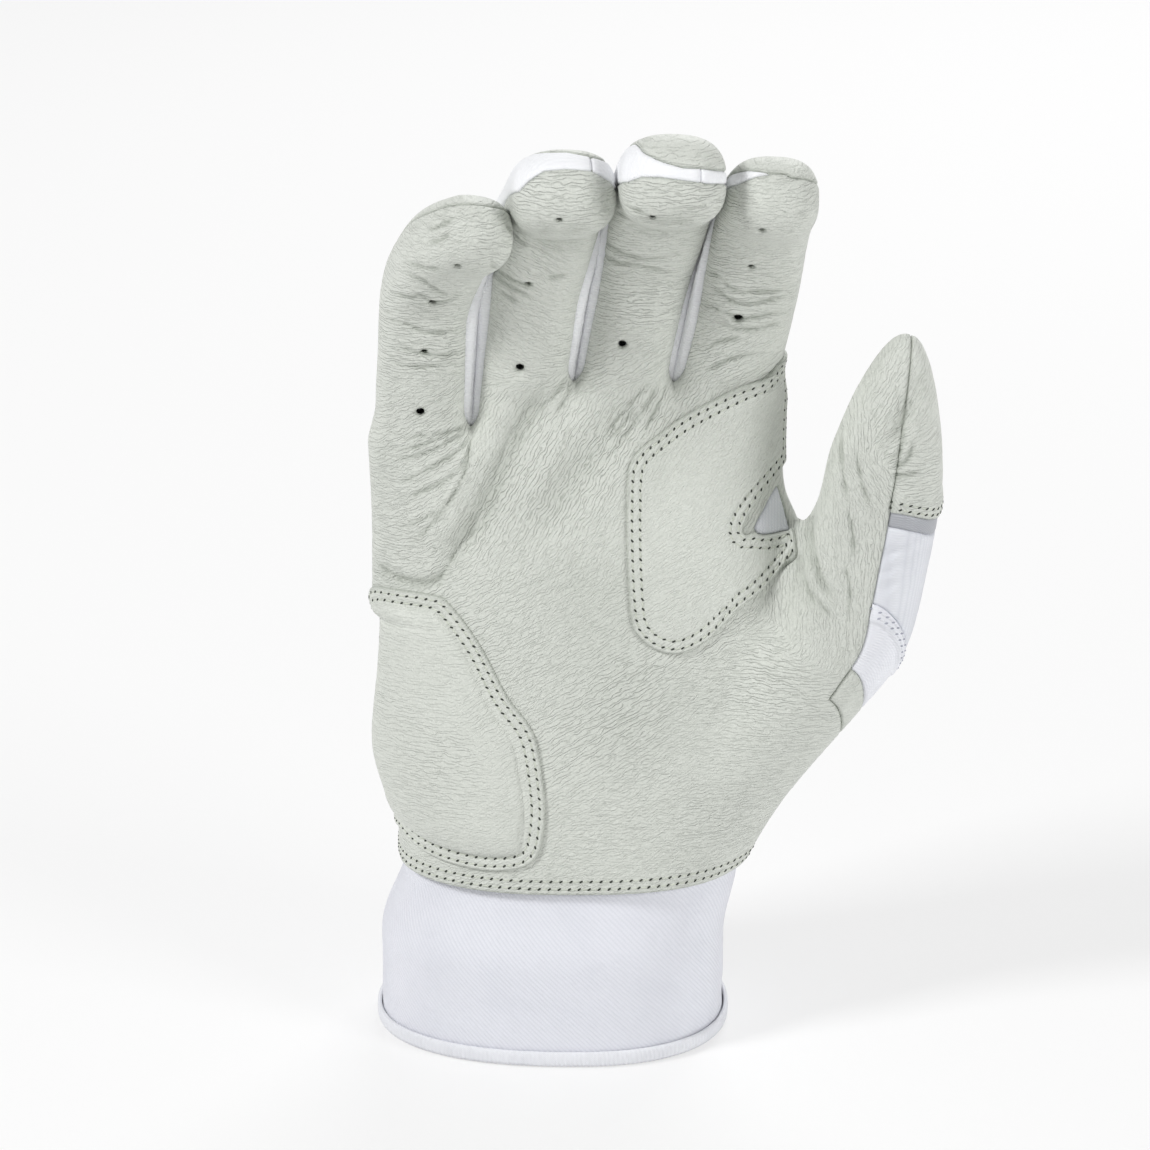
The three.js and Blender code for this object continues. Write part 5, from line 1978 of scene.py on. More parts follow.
@dataclass(frozen=True)
class Tailor:
    """Turns a cut sheet into a panel with rounded edges and a wall thickness."""

    thickness: float = 1.2
    edge: float = 0.9
    drop: float = 0.5
    reach: float = 5.0
    keep: float = 0.12
    edge_shade: float = 0.35
    edge_shade_width: float = 0.8
    simplify_above: int = 9000

    def shape(self, sheet: Sheet, lift: Callable[[Array, Array], Array] | None = None) -> Cloth:
        """Gives the sheet its relief and its rounded edge.

        Args:
            sheet: The cut sheet.
            lift: More rise for each corner, from its table's rows and its distance from the edge.

        Returns:
            The shaped panel.
        """
        gap = rim_distance(sheet, self.reach)
        table = sheet.table
        normals = table[:, Columns.normal]
        normals = normals / np.maximum(np.linalg.norm(normals, axis=1, keepdims=True), 1e-6)
        near = np.clip(1 - gap / self.edge, 0, 1)
        rise = table[:, Columns.rise] - self.drop * (1 - np.sqrt(1 - near**2))
        if lift is not None:
            rise = rise + lift(table, gap)
        return Cloth(sheet, table[:, Columns.place] + normals * rise[:, None], normals, gap)

    def piece(self, name: str, cloth: Cloth, finish: Material, flat: Array | None = None) -> Object:
        """Closes the panel with an inner face and makes it an object.

        Args:
            name: The piece's name.
            cloth: The shaped panel.
            finish: Its finish.
            flat: Flat coordinates of each corner on the cloth, in millimetres.

        Returns:
            The finished object.
        """
        sheet, size = cloth.sheet, len(cloth.outer)
        inner = sheet.table[:, Columns.place] - cloth.normals * self.thickness
        rim = sheet.rim()
        a, b = rim[:, 0], rim[:, 1]
        walls = np.vstack([np.stack([b, a, a + size], 1), np.stack([b, a + size, b + size], 1)])
        faces = np.vstack([sheet.triangles, sheet.triangles[:, ::-1] + size, walls])
        piece = new_object(name, np.vstack([cloth.outer, inner]), faces, finish)
        flat = sheet.table[:, [0, 2]] if flat is None else flat
        # Painted shade along the panel's edge, where it dips into the seam; it joins the painted crease
        # shade.
        near = self.edge_shade * (1 - ease(cloth.rim_gap / self.edge_shade_width))
        ways = sheet.table[:, Columns.ways]
        kept = {
            "crease": np.clip(sheet.table[:, Columns.crease] + near, 0, 1),
            "ways_0": ways[:, :3],
            "ways_1": ways[:, 3:],
            "cloth": np.column_stack([flat, np.zeros(size)]),
        }
        for key, values in kept.items():
            set_values(piece, key, np.concatenate([values, values]))
        if len(sheet.triangles) > self.simplify_above:
            self.simplify(piece, size, rim, len(sheet.triangles))
        return piece

    def simplify(self, piece: Object, size: int, rim: Array, count: int) -> None:
        """Thins out the hidden inner face, and leaves the outer one as it is.

        Args:
            piece: The shaped piece.
            size: How many corners its outer face has.
            rim: The corners on its open edges.
            count: How many faces its inner side has.
        """
        inside = np.zeros(2 * size, bool)
        inside[size:] = True
        inside[size + rim.ravel()] = False
        group = piece.vertex_groups.new(name="inner")
        group.add(np.flatnonzero(inside).tolist(), 1.0, "REPLACE")
        thin = piece.modifiers.new("thin", "DECIMATE")
        thin.vertex_group, thin.vertex_group_factor = "inner", 1000.0
        total = len(piece.data.polygons)
        thin.ratio = (total - (1 - self.keep) * count) / total
        bake(piece)
        piece.vertex_groups.clear()


def bake(piece: Object) -> None:
    """Applies a piece's modifiers to its mesh.

    Args:
        piece: The piece.
    """
    bpy.context.view_layer.update()
    mesh = bpy.data.meshes.new_from_object(piece.evaluated_get(bpy.context.evaluated_depsgraph_get()))
    old, mesh.name = piece.data, piece.data.name
    piece.modifiers.clear()
    piece.data = mesh
    bpy.data.meshes.remove(old)
    mesh.set_sharp_from_angle(angle=math.radians(SHARP))


def place(piece: Object, slot: str, *nodes: str, body: Body = Body.GLOVE) -> Object:
    """Puts a piece on its body, in place of its CAD nodes.

    Args:
        piece: The finished piece.
        slot: The material slot of its finish; not used.
        *nodes: The CAD nodes that it stands for.
        body: The body that it moves with.

    Returns:
        The piece.
    """
    if nodes:
        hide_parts(*nodes)
    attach(piece, body.value)
    log.info("%s: %d faces", piece.name, len(piece.data.polygons))
    return piece


@dataclass
class HandPanels:
    """All the panels cut from the hand's skin: palm, forks, finger backs, thumb, knuckles and back."""

    form: HandForm
    finishes: Finishes
    lens: Lens
    pattern: Pattern = field(default_factory=Pattern)
    relief: Relief = field(default_factory=Relief)
    step: float = 0.7
    quick_step: float = 1.25
    rings: tuple[float, ...] = (0.3, 0.75)
    slack: float = 6.5
    slack_at: float = 79.0
    slack_height: float = 17.0
    slack_rise: float = 6.5
    slack_from: float = 34.0
    slack_back: float = 17.0
    slack_over: float = 8.0
    roll_rise: float = 0.5
    fold_rise: float = 0.6
    fold_ends: tuple[float, float] = (3.8, 4.2)
    fold_slopes: tuple[float, float] = (0.7, 2.5)
    stitch_rows: tuple[float, ...] = (1.3, 2.9)
    white_rows_up: float = 0.3
    hem_rows: tuple[float, ...] = (1.5, 3.3)
    seams: list[tuple[Part, Array]] = field(init=False)
    rows: list[Array] = field(default_factory=list)
    white_rows: list[Array] = field(default_factory=list)
    leather: Tailor = field(default_factory=Tailor)
    fabric: Tailor = field(default_factory=lambda: Tailor(thickness=1.0, edge=1.1, drop=0.6, edge_shade=0.1))
    survey: Survey = field(init=False)
    cutter: Cutter = field(init=False)
    palm: Cloth = field(init=False)

    def cut(self) -> None:
        """Meshes the skin, measures it and cuts it into panels."""
        skin = SkinMesher(self.form, self.step).mesh()
        self.survey = survey = Survey(self.form, skin, self.pattern, self.lens)
        rise, shade, ways = self.relief.measure(survey)
        self.seams = seams = survey.seams()
        hem = self.form.hand.hem - survey.points[:, 2]
        slope = self.pattern.thumb_slopes[-1] * self.form.hand.thumb.length
        thumb_along = survey.s[4] + slope * np.maximum(survey.v[4], 0) ** 2
        table = np.column_stack([
            survey.points, survey.normals, rise, shade, ways, survey.fs, survey.fv, thumb_along, survey.u[4],
            survey.grip(), survey.heel(), survey.fill(), survey.vents(), hem,
            *(values for _, values in seams),
        ])
        self.cutter = Cutter(table, skin.triangles)
        rest = np.array([Part.PALM_LEATHER.value])
        self.cutter.cut(Columns.hem, 0.0, rest, Part.WRIST_SLIT.value)
        thumb = range(Part.THUMB_BASE_PANEL.value, Part.THUMB_CAP.value + 1)
        for k, (part, _) in enumerate(seams):
            among = np.array([Part.BACK_PANEL.value]) if part is Part.WRIST_SLIT else rest
            among = np.array([part.value - 1]) if part.value in thumb else among
            self.cutter.cut(Columns.seams + k, 0.0, among, part.value)
        self.cutter.cut(Columns.vents, 0.0, rest, Part.WRIST_SLIT.value)
        log.info("skin: %d faces in %d panels", len(self.cutter.triangles), len(seams))

    def sheet(self, part: Part) -> Sheet:
        """One panel's sheet, with rings of corners along its edge.

        Args:
            part: The panel.

        Returns:
            The sheet.
        """
        sheet = self.cutter.sheet(part.value).largest()
        rings = Cutter(np.column_stack([sheet.table, rim_distance(sheet, 2.0)]), sheet.triangles)
        rings.fixed[sheet.rim().ravel()] = True
        for level in self.rings:
            rings.cut(sheet.table.shape[1], level, np.array([0]), None)
        return Sheet(rings.table[:, :-1], rings.triangles)

    def above_base(self, table: Array) -> Array:
        """How far the padded thumb panel's corners lie from its upper seam."""
        return -table[:, Columns.seams + [part for part, _ in self.seams].index(Part.THUMB_STRETCH_PANEL)]

    def above_cap(self, table: Array) -> Array:
        """How far the thumb cap's corners lie from its lower seam."""
        return table[:, Columns.thumb_along] - self.pattern.thumb_marks[-1] * self.form.hand.thumb.length

    def loosen(self, part: Part) -> Callable[[Array, Array], Array]:
        """The rule by which a panel's fabric stands off the hand."""

        def lift(table: Array, gap: Array) -> Array:
            """Forks roll out between the fingers, and the back's slack bulges out beside the heel.

            Args:
                table: The corners' values.
                gap: How far each corner lies from the panel's edge.

            Returns:
                One height for each corner.
            """
            if part is Part.BACK_PANEL:
                x, y, z = table[:, Columns.place].T
                ways = (-x - self.slack_from, self.slack_back - y)
                left, back = (ease(way / self.slack_over) for way in ways)
                low = np.exp(-(((z - self.slack_at) / self.slack_height) ** 2))
                return self.slack * (left * back) * low * ease(gap / self.slack_rise)
            if part is Part.THUMB_BASE_PANEL:
                past = (self.above_base(table) - self.fold_ends[0]) / self.fold_slopes[0]
                return self.fold_rise * (1 - ease(past))
            if part is Part.THUMB_CAP:
                past = (self.above_cap(table) - self.fold_ends[1]) / self.fold_slopes[1]
                return self.fold_rise * (1 - ease(past))
            return table[:, Columns.fill] * ease(gap / self.roll_rise)

        return lift

    def build(self) -> None:
        """Makes every panel."""
        f = self.finishes
        finger = (Columns.finger_along, Columns.finger_back)
        thumb = (Columns.thumb_across, Columns.thumb_along)
        self.palm = self.leather.shape(self.sheet(Part.PALM_LEATHER))
        piece = self.leather.piece("palm_leather_panel", self.palm, f.palm_leather)
        place(piece, "palm_leather", "palm_leather")
        plans = (
            *((part, f.fork_knit_painted_light, "stretch_fabric", finger) for part in FORKS),
            *((part, f.back_leather, "back_leather", (0, 2)) for part in BACKS),
            (Part.KNUCKLE_BAND, f.rib_knit, "rib_fabric", (2, 0)),
            (Part.THUMB_TAB, f.back_leather, "back_leather", thumb),
            (Part.THUMB_BASE_PANEL, f.padded_weave, "padded_fabric", thumb),
            (Part.THUMB_STRETCH_PANEL, f.stretch_knit, "stretch_fabric", thumb),
            (Part.THUMB_STRIPE, f.silver_weave, "silver_trim", thumb),
            (Part.THUMB_CAP, f.back_leather, "back_leather", thumb),
            (Part.BACK_PANEL, f.mesh_knit, "back_fabric", (0, 2)),
            (Part.WEB_GUSSET, f.stretch_knit, "stretch_fabric", (0, 2)),
        )
        for part, finish, slot, (x, y) in plans:
            sheet = self.sheet(part)
            tailor = self.leather if slot == "back_leather" else self.fabric
            cloth = tailor.shape(sheet, self.loosen(part))
            for level in self.stitch_rows:
                if part is Part.THUMB_CAP:
                    self.rows += row_on(cloth, self.above_cap(sheet.table), level)
                if part is Part.THUMB_BASE_PANEL:
                    self.white_rows += row_on(cloth, self.above_base(sheet.table), level - self.white_rows_up)
            name = part.name.lower()
            piece = tailor.piece(f"{name}_cloth", cloth, finish, sheet.table[:, [x, y]])
            place(piece, slot, name)


def split_faces(sheet: Sheet) -> Sheet:
    """Divides each triangle of a sheet into four.

    Args:
        sheet: The sheet.

    Returns:
        The finer sheet.
    """
    t, size = sheet.triangles, len(sheet.table)
    names, at = np.unique(edge_keys(*sides_of(t).T, size), return_inverse=True)
    ab, bc, ca = (size + at.reshape(3, -1)[k] for k in range(3))
    table = np.vstack([sheet.table, sheet.table[np.stack([names // size, names % size], 1)].mean(1)])
    a, b, c = t.T
    faces = [np.stack(corners, 1) for corners in ((a, ab, ca), (ab, b, bc), (ca, bc, c), (ab, bc, ca))]
    return Sheet(table, np.vstack(faces))


@dataclass
class Patches:
    """The two leather patches sewn on the palm, with the foam under the heel patch."""

    panels: HandPanels
    rows: tuple[float, ...] = (1.2, 3.0)
    groove: float = 0.22
    groove_width: float = 0.55
    crown: float = 2.9
    crown_from: float = 3.9
    crown_over: float = 12.0
    stand_off: float = 1.05
    pad_from: float = -1.0
    pad_over: float = 9.0
    pad_gap: float = 0.06
    pad_shares: tuple[float, float] = (0.9, 0.97)
    pad_inset: float = 0.2
    pad_play: float = 0.02
    edge_rings: tuple[float, ...] = (0.4, 0.9)
    tailor: Tailor = field(default_factory=lambda: Tailor(thickness=-0.06, edge=0.8, drop=0.75, keep=0.3))
    grip: Cloth = field(init=False)
    heel: Cloth = field(init=False)

    def sheet(self, column: int) -> Sheet:
        """The palm's face inside one patch's outline.

        Args:
            column: The column of the patch's field.

        Returns:
            The sheet.
        """
        palm = self.panels.palm
        table = palm.sheet.table.copy()
        table[:, Columns.place] = palm.outer
        table[:, Columns.normal] = palm.normals
        table[:, Columns.rise] = 0.0
        cutter = Cutter(table, palm.sheet.triangles)
        cutter.cut(column, 0.0, np.array([0]), 1)
        for level in self.edge_rings:
            cutter.cut(column, level, np.array([1]), None)
        sheet = cutter.sheet(1).largest()
        return split_faces(sheet)

    def dome(self, table: Array) -> Array:
        """How high the foam lifts the heel patch at each corner.

        Args:
            table: The corners' values.

        Returns:
            One height for each corner.
        """
        t = np.clip((table[:, Columns.heel] - self.crown_from) / self.crown_over, 0, 1)
        rise = self.crown * np.sqrt(np.clip(1 - (1 - t) ** 2.2, 0, 1))
        return rise * ease((self.pad_from - table[:, 1]) / self.pad_over)

    def lift(self, gap: Array) -> Array:
        """How far a patch's face stands off the palm at a distance from its edge."""
        rows = sum(np.exp(-(((gap - row) / self.groove_width) ** 2)) for row in self.rows)
        return self.stand_off - self.groove * rows

    def build(self) -> None:
        """Makes both patches and the foam."""
        f = self.panels.finishes
        self.grip = self.tailor.shape(self.sheet(Columns.grip), lambda table, gap: self.lift(gap))
        place(self.tailor.piece("palm_grip_patch", self.grip, f.patch_leather), "patch_leather", "palm_patch")
        sheet = self.sheet(Columns.heel)
        dome = self.dome(sheet.table)
        self.heel = heel = self.tailor.shape(sheet, lambda table, gap: self.lift(gap) + dome)
        under = Sheet(sheet.table.copy(), sheet.triangles)
        gap = dome * self.pad_shares[1] + self.pad_gap
        lower = under.table[:, Columns.place] + heel.normals * gap[:, None]
        under.table[:, Columns.place] = lower + heel.normals * self.tailor.thickness
        cover = Cloth(under, heel.outer, heel.normals, heel.rim_gap)
        place(self.tailor.piece("heel_leather_patch", cover, f.patch_leather), "patch_leather", "heel_patch")
        self.build_pad(sheet)

    def build_pad(self, sheet: Sheet) -> None:
        """Makes the foam under the heel patch.

        Args:
            sheet: The heel patch's sheet.
        """
        inside = Cutter(sheet.table, sheet.triangles)
        inside.cut(Columns.heel, self.crown_from + self.pad_inset, np.array([0]), 1)
        foam = inside.sheet(1).largest()
        play = self.pad_play
        rise = np.maximum(self.dome(foam.table) * self.pad_shares[0] - play, play)
        normals = foam.table[:, Columns.normal]
        outer = foam.table[:, Columns.place] + normals * rise[:, None]
        tailor = Tailor(thickness=-0.01, keep=0.3)
        pad = Cloth(foam, outer, normals, np.full(len(outer), tailor.reach))
        piece = tailor.piece("heel_foam_pad", pad, self.panels.finishes.foam)
        place(piece, "foam", "heel_pad")


def shell(outer: Array, inner: Array) -> tuple[Array, Array]:
    """Closes a strip of rows between an outer and an inner face.

    Args:
        outer: The outer face's places, as rows of columns.
        inner: The inner face's places in the same layout.

    Returns:
        The places, and the corners of each four-sided face, turned outwards where rows run anticlockwise
        from above and columns run up.
    """
    rows, columns = outer.shape[:2]
    size = rows * columns
    ids = np.arange(size).reshape(rows, columns)
    quads = np.stack([ids[:-1, :-1], ids[1:, :-1], ids[1:, 1:], ids[:-1, 1:]], -1).reshape(-1, 4)
    faces = [quads, quads[:, ::-1] + size]
    for line in (ids[:, 0][::-1], ids[-1, :][::-1], ids[:, -1], ids[0, :]):
        a, b = line[:-1], line[1:]
        faces.append(np.stack([a, b, b + size, a + size], 1))
    return np.vstack([outer.reshape(-1, 3), inner.reshape(-1, 3)]), np.vstack(faces)


@dataclass
class Cuff:
    """The doubled cuff, its binding, the gusset behind the slit, and the closure strap with its tapes."""

    form: HandForm
    finishes: Finishes
    left: float = 45.3
    right: float = 34.8
    front: float = 31.0
    back: float = 31.0
    tuck: float = 6.0
    tuck_gap: float = 0.6
    leather: float = 1.3
    flare_from: float = 22.0
    squareness: float = 2.3
    thickness: float = 1.8
    gap: float = 0.3
    wall_steps: int = 1200
    binding_height: float = 4.0
    binding_thickness: float = 0.9
    fold: float = 1.5
    rib_pitch: float = 1.05
    rib_height: float = 0.09
    rib_below: float = 0.06
    rib_turn: float = 0.8
    around: float = 218.0
    slit: tuple[float, float] = (98.0, 120.0)
    sway: float = 0.22
    sway_sizes: tuple[float, float, float] = (26, 7, 1)
    pull: float = 0.12
    gusset_ends: tuple[float, float] = (86.0, 132.0)
    gusset_rise: float = 26.0
    gusset_thickness: float = 1.0
    pleat: float = 0.35
    pleat_pitch: float = 4.5
    pleats_from: float = 6.0
    strap_root: float = 150.0
    strap_end: float = 44.0
    strap_low: float = 7.0
    strap_high: float = 37.0
    strap_lift: float = 26.0
    strap_thickness: float = 1.8
    root_thickness: float = 0.35
    root_share: float = 0.05
    hinge_height: float = 22.0
    hinge_over: float = 9.0
    end_round: float = 0.14
    end_narrowing: float = 0.82
    stitch_inset: float = 1.8
    stitch_groove: float = 0.15
    stitch_ends: tuple[float, float] = (12.0, 3.0)
    tape: float = 1.0
    tape_ends: tuple[float, float] = (52.0, 84.0)
    tape_margin: float = 3.0
    tab_from: float = 62.0
    tab_margin: float = 4.0
    tab_thickness: float = 1.4
    grip_depth: float = 0.45
    grip_pitch: float = 2.6
    grip_inset: float = 3.0

    def at(self, heading: Array, z: Array, offset: Array) -> Array:
        """Places on the cuff's wall.

        Args:
            heading: Degrees round from the thumb side, by way of the back.
            z: Heights.
            offset: How far outside the wall.

        Returns:
            The places, on a last axis of three.
        """
        heading, z, offset = np.broadcast_arrays(np.radians(heading), z, offset)
        hand = self.form.hand
        share = np.maximum((z - hand.hem) / hand.palm_height, 0)
        t = ease((z - self.flare_from) / (hand.hem - self.flare_from))
        tucked = [reach - self.leather - self.tuck_gap for reach in hand.reaches(share)]
        flare = (self.right, self.left, self.back, self.front)
        right, left, back, front = (mix(a, b, t) for a, b in zip(flare, tucked))
        c, s = np.cos(heading), np.sin(heading)
        power = 2 / self.squareness
        c, s = np.sign(c) * np.abs(c) ** power, np.sign(s) * np.abs(s) ** power
        x = c * (np.where(c > 0, right, left) + offset)
        y = s * (np.where(s > 0, back, front) + offset)
        return np.stack([x, y, z], axis=-1)

    def headings(self, start: float, end: float, count: int, z: float = 20.0) -> tuple[Array, Array]:
        """Headings spaced evenly along the wall, with the length of the wall before each.

        Args:
            start: The first heading, in degrees.
            end: The last heading.
            count: How many steps lie between them.
            z: The height at which the wall is measured.

        Returns:
            The headings and the lengths.
        """
        fine = np.linspace(start, end, self.wall_steps)
        steps = np.linalg.norm(np.diff(self.at(fine, z, 0.0), axis=0), axis=1)
        marks = np.concatenate(([0.0], np.cumsum(steps)))
        at = np.linspace(0, marks[-1], count + 1)
        return np.interp(at, marks, fine), at

    def wall_piece(
        self, name: str, finish: Material, headings: Array, along: Array, z: Array, inner: Array, outer: Array
    ) -> Object:
        """A piece that follows the wall between two offsets, with rounded edges.

        Args:
            name: The piece's name.
            finish: Its finish.
            headings: The heading of each row.
            along: The length of wall before each row.
            z: The height of each place, as rows of columns.
            inner: The inner offset of each place.
            outer: The outer offset of each place.

        Returns:
            The object.
        """
        h = headings[:, None]
        places, faces = shell(self.at(h, z, outer), self.at(h, z, inner))
        piece = new_object(name, places, faces, finish)
        flat = np.stack([np.broadcast_to(along[:, None], z.shape), z, np.zeros(z.shape)], -1).reshape(-1, 3)
        set_values(piece, "cloth", np.vstack([flat, flat]))
        return piece

    def soft_edge(self, t: Array, size: float) -> Array:
        """A share from 0 at both ends of t to 1 inside, for a rounded edge of a given size."""
        t = np.clip(np.minimum(t, t[-1] - t) / size, 0, 1)
        return np.sqrt(1 - (1 - t) ** 2)

    def edge_marks(self, length: float, count: int, size: float) -> Array:
        """Marks along a length, crowded at both ends."""
        ends = np.array((0, 0.12, 0.35, 0.7, 1.0)) * size
        return np.concatenate([ends, np.linspace(size, length - size, count)[1:-1], length - ends[::-1]])

    def rounded(self, along: Array, marks: Array, size: float) -> Array:
        """A share from 0 at a sheet's four edges to 1 inside, for rounded edges of a given size."""
        return self.soft_edge(marks, size)[None] * self.soft_edge(along, size)[:, None]

    def grid(
        self, ends: Point, low: float, high: float, counts: tuple[int, int], edge: float
    ) -> tuple[Array, ...]:
        """Lays a sheet out on the wall.

        Args:
            ends: The headings at which it starts and ends.
            low: Its lowest height.
            high: Its highest height.
            counts: How many steps it has along and up.
            edge: The size of its rounded edges.

        Returns:
            Headings, lengths along the wall, marks up from the lowest height, and every place's height.
        """
        headings, along = self.headings(*ends, counts[0])
        marks = self.edge_marks(high - low, counts[1], edge)
        return headings, along, marks, np.broadcast_to(low + marks, (len(headings), len(marks)))

    def build_band(self) -> None:
        """Makes the cuff's doubled wall."""
        counts = ((320, 60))
        low, high = self.binding_thickness + self.gap, self.form.hand.hem + self.tuck
        half = self.thickness / 2
        headings, along, marks, z = self.grid((self.slit[1], self.slit[0] + 360), low, high, counts, half)
        edge = self.soft_edge(marks, half)[None]
        flat = np.stack(np.broadcast_arrays(along[:, None], z, 0.0), -1).reshape(-1, 3) / self.sway_sizes
        sway = self.sway * noise(flat, 91).reshape(z.shape)
        pull = self.pull * folds_of(flat * (1.0, 1.9, 1.0) + 4.0, 17).reshape(z.shape) * ease((z - 30) / 10)
        outer = -half + half * edge + (sway - pull) * edge
        inner = -half - half * edge + sway * 0.5
        piece = self.wall_piece("cuff_twill_band", self.finishes.cuff_twill, headings, along, z, inner, outer)
        place(piece, "cuff_fabric", "cuff_band")

    def build_binding(self) -> None:
        """Makes the ribbed tape folded over the cuff's lower edge."""
        ribs = int(self.around / self.rib_pitch)
        per_rib = 5
        headings, along = self.headings(self.slit[1], self.slit[0] + 360, ribs * per_rib)
        out, inn = self.gap + self.binding_thickness, -self.thickness - self.gap - self.binding_thickness
        middle, half = (out + inn) / 2, (out - inn) / 2
        turn = np.linspace(0, math.pi, 13)
        bend = np.stack([middle + half * np.cos(turn), self.fold - self.fold * np.sin(turn)], 1)
        top = self.binding_height
        outside = np.array([(out - 0.72, top + 0.02), (out - 0.5, top + 0.05), (out - 0.22, top - 0.08),
                            (out + 0.02, top - 0.45), (out + 0.08, top - 1.3), (out + 0.04, 2.2)])
        inside = np.array([(inn, 2.2), (inn, 3.2), (inn + 0.2, top - 0.15), (inn + 0.75, top)])
        skin = np.vstack([outside, bend, inside])
        core = np.array([(inn + 0.9, top - 0.1), (inn + 0.9, 1.3), (out - 0.9, 1.3), (out - 0.9, top - 0.1)])
        section = np.vstack([skin, core])
        wave = np.cos(2 * math.pi * np.arange(len(headings)) / per_rib)[:, None]
        depth = np.concatenate([[0.0, 0.4], np.ones(len(skin) - 4), [0.4, 0.0], np.zeros(len(core))])[None]
        offset = section[None, :, 0] + self.rib_height * wave * depth * np.sign(section[None, :, 0] - middle)
        low = section[None, :, 1] < self.rib_turn
        z = section[None, :, 1] - self.rib_below * wave * depth * low + self.rib_below
        places = self.at(headings[:, None], np.maximum(z, 0.0), offset)
        rows, columns = places.shape[:2]
        ids = np.arange(rows * columns).reshape(rows, columns)
        ring = np.roll(ids, -1, axis=1)
        quads = np.stack([ids[:-1], ring[:-1], ring[1:], ids[1:]], -1).reshape(-1, 4)
        faces = quads.tolist() + [ids[0][::-1].tolist(), ids[-1].tolist()]
        piece = new_object("cuff_ribbed_binding", places.reshape(-1, 3), faces, self.finishes.binding_rib)
        height = np.cumsum(np.linalg.norm(np.diff(section, axis=0, prepend=section[:1]), axis=1))
        flat = np.stack(np.broadcast_arrays(along[:, None], height, 0.0), -1)
        set_values(piece, "cloth", flat.reshape(-1, 3))
        self.turn_out(piece)
        place(piece, "binding", "cuff_binding")

    @staticmethod
    def turn_out(piece: Object) -> None:
        """Turns every face of a closed piece outwards.

        Args:
            piece: The piece.
        """
        work = bmesh.new()
        work.from_mesh(piece.data)
        bmesh.ops.recalc_face_normals(work, faces=work.faces)
        work.to_mesh(piece.data)
        work.free()

    def build_gusset(self) -> None:
        """Makes the pleated gusset behind the wrist slit."""
        half = self.gusset_thickness / 2
        low, high = self.binding_height + self.gap, self.form.hand.hem + self.gusset_rise
        headings, along, marks, z = self.grid(self.gusset_ends, low, high, (90, 26), half)
        edge = self.rounded(along, marks, half)
        middle = ease(np.minimum(along, along[-1] - along) / self.pleats_from)[:, None]
        pleat = -self.pleat * (1 - np.cos(2 * math.pi * along / self.pleat_pitch))[:, None] * middle
        centre = -self.thickness - self.gap - half + pleat
        faces = (centre - half * edge, centre + half * edge)
        piece = self.wall_piece("wrist_slit_gusset", self.finishes.stretch_knit, headings, along, z, *faces)
        place(piece, "stretch_fabric", "wrist_gusset")

    def strap_offset(self, t: Array) -> Array:
        """How far the strap's inner face stands off the cuff, at a share of its length."""
        lift = 3 * self.gap + 2 * self.tape
        return self.gap + (lift - self.gap) * ease(t * (self.strap_root - self.strap_end) / self.strap_lift)

    def strap_half(self, t: Array, low: float, high: float) -> Array:
        """Half the strap's height at a share of its length: rounded at its free end."""
        into = np.clip((t - 1 + self.end_round) / self.end_round, 0, 1)
        return (high - low) / 2 * np.sqrt(1 - self.end_narrowing * into**2)

    def strap_share(self, headings: Array) -> Array:
        """The share of the strap's length at a heading, from its root."""
        return (self.strap_root - headings) / (self.strap_root - self.strap_end)

    def strap_grid(self, end: float, low: float, high: float, count: int) -> tuple[Array, ...]:
        """Lays out a piece that follows the strap from its free end.

        Args:
            end: The heading at which the piece ends.
            low: Its lowest height.
            high: Its highest height.
            count: How many steps it has along.

        Returns:
            Headings, lengths along, shares of the strap, marks up, heights, and the edge's rounding.
        """
        headings, along, marks, _ = self.grid((self.strap_end, end), low, high, (count, 22), 0.8)
        t = self.strap_share(headings)
        across = marks / marks[-1] * 2 - 1
        z = (low + high) / 2 + across[None] * self.strap_half(t, low, high)[:, None]
        return headings, along, t, marks, z, self.rounded(along, marks, 0.8)

    def build_strap(self) -> list[Array]:
        """Makes the strap.

        Returns:
            The lines along which the strap is stitched, with the way up.
        """
        low, high = self.strap_low, self.strap_high
        headings, along, t, marks, z, edge = self.strap_grid(self.strap_root, low, high, 150)
        offset = self.strap_offset(t)[:, None]
        full = mix(self.root_thickness, self.strap_thickness, np.minimum(t / self.root_share, 1))[:, None]
        groove = np.exp(-(((np.minimum(marks, marks[-1] - marks) - self.stitch_inset) / 0.5) ** 2))[None]
        outer = offset + full * (0.5 + 0.5 * edge) - self.stitch_groove * groove * (full > 1)
        inner = offset + full * (0.5 - 0.5 * edge)
        finish = self.finishes.strap_laminate
        piece = self.wall_piece("wrist_closure_strap", finish, headings, along, z, inner, outer)
        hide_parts("closure_strap")
        ends = (self.strap_root, self.strap_root - self.hinge_over)
        root, free = (to_frame(self.at(np.array(end), self.hinge_height, self.gap)) for end in ends)
        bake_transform(piece)
        log.info("%s: %d faces", piece.name, len(piece.data.polygons))
        line = np.linspace(self.strap_root - self.stitch_ends[0], self.strap_end + self.stitch_ends[1], 160)
        t = self.strap_share(line)
        half = self.strap_half(t, low, high) - self.stitch_inset
        out = self.strap_offset(t) + self.strap_thickness - 0.12
        return [self.with_up(line, (low + high) / 2 + side * half, out) for side in (-1, 1)]

    def with_up(self, headings: Array, z: Array, offset: Array) -> Array:
        """Places on the wall with the way out of it."""
        here, beyond = self.at(headings, z, offset), self.at(headings, z, offset + 1.0)
        return np.hstack([here, beyond - here])

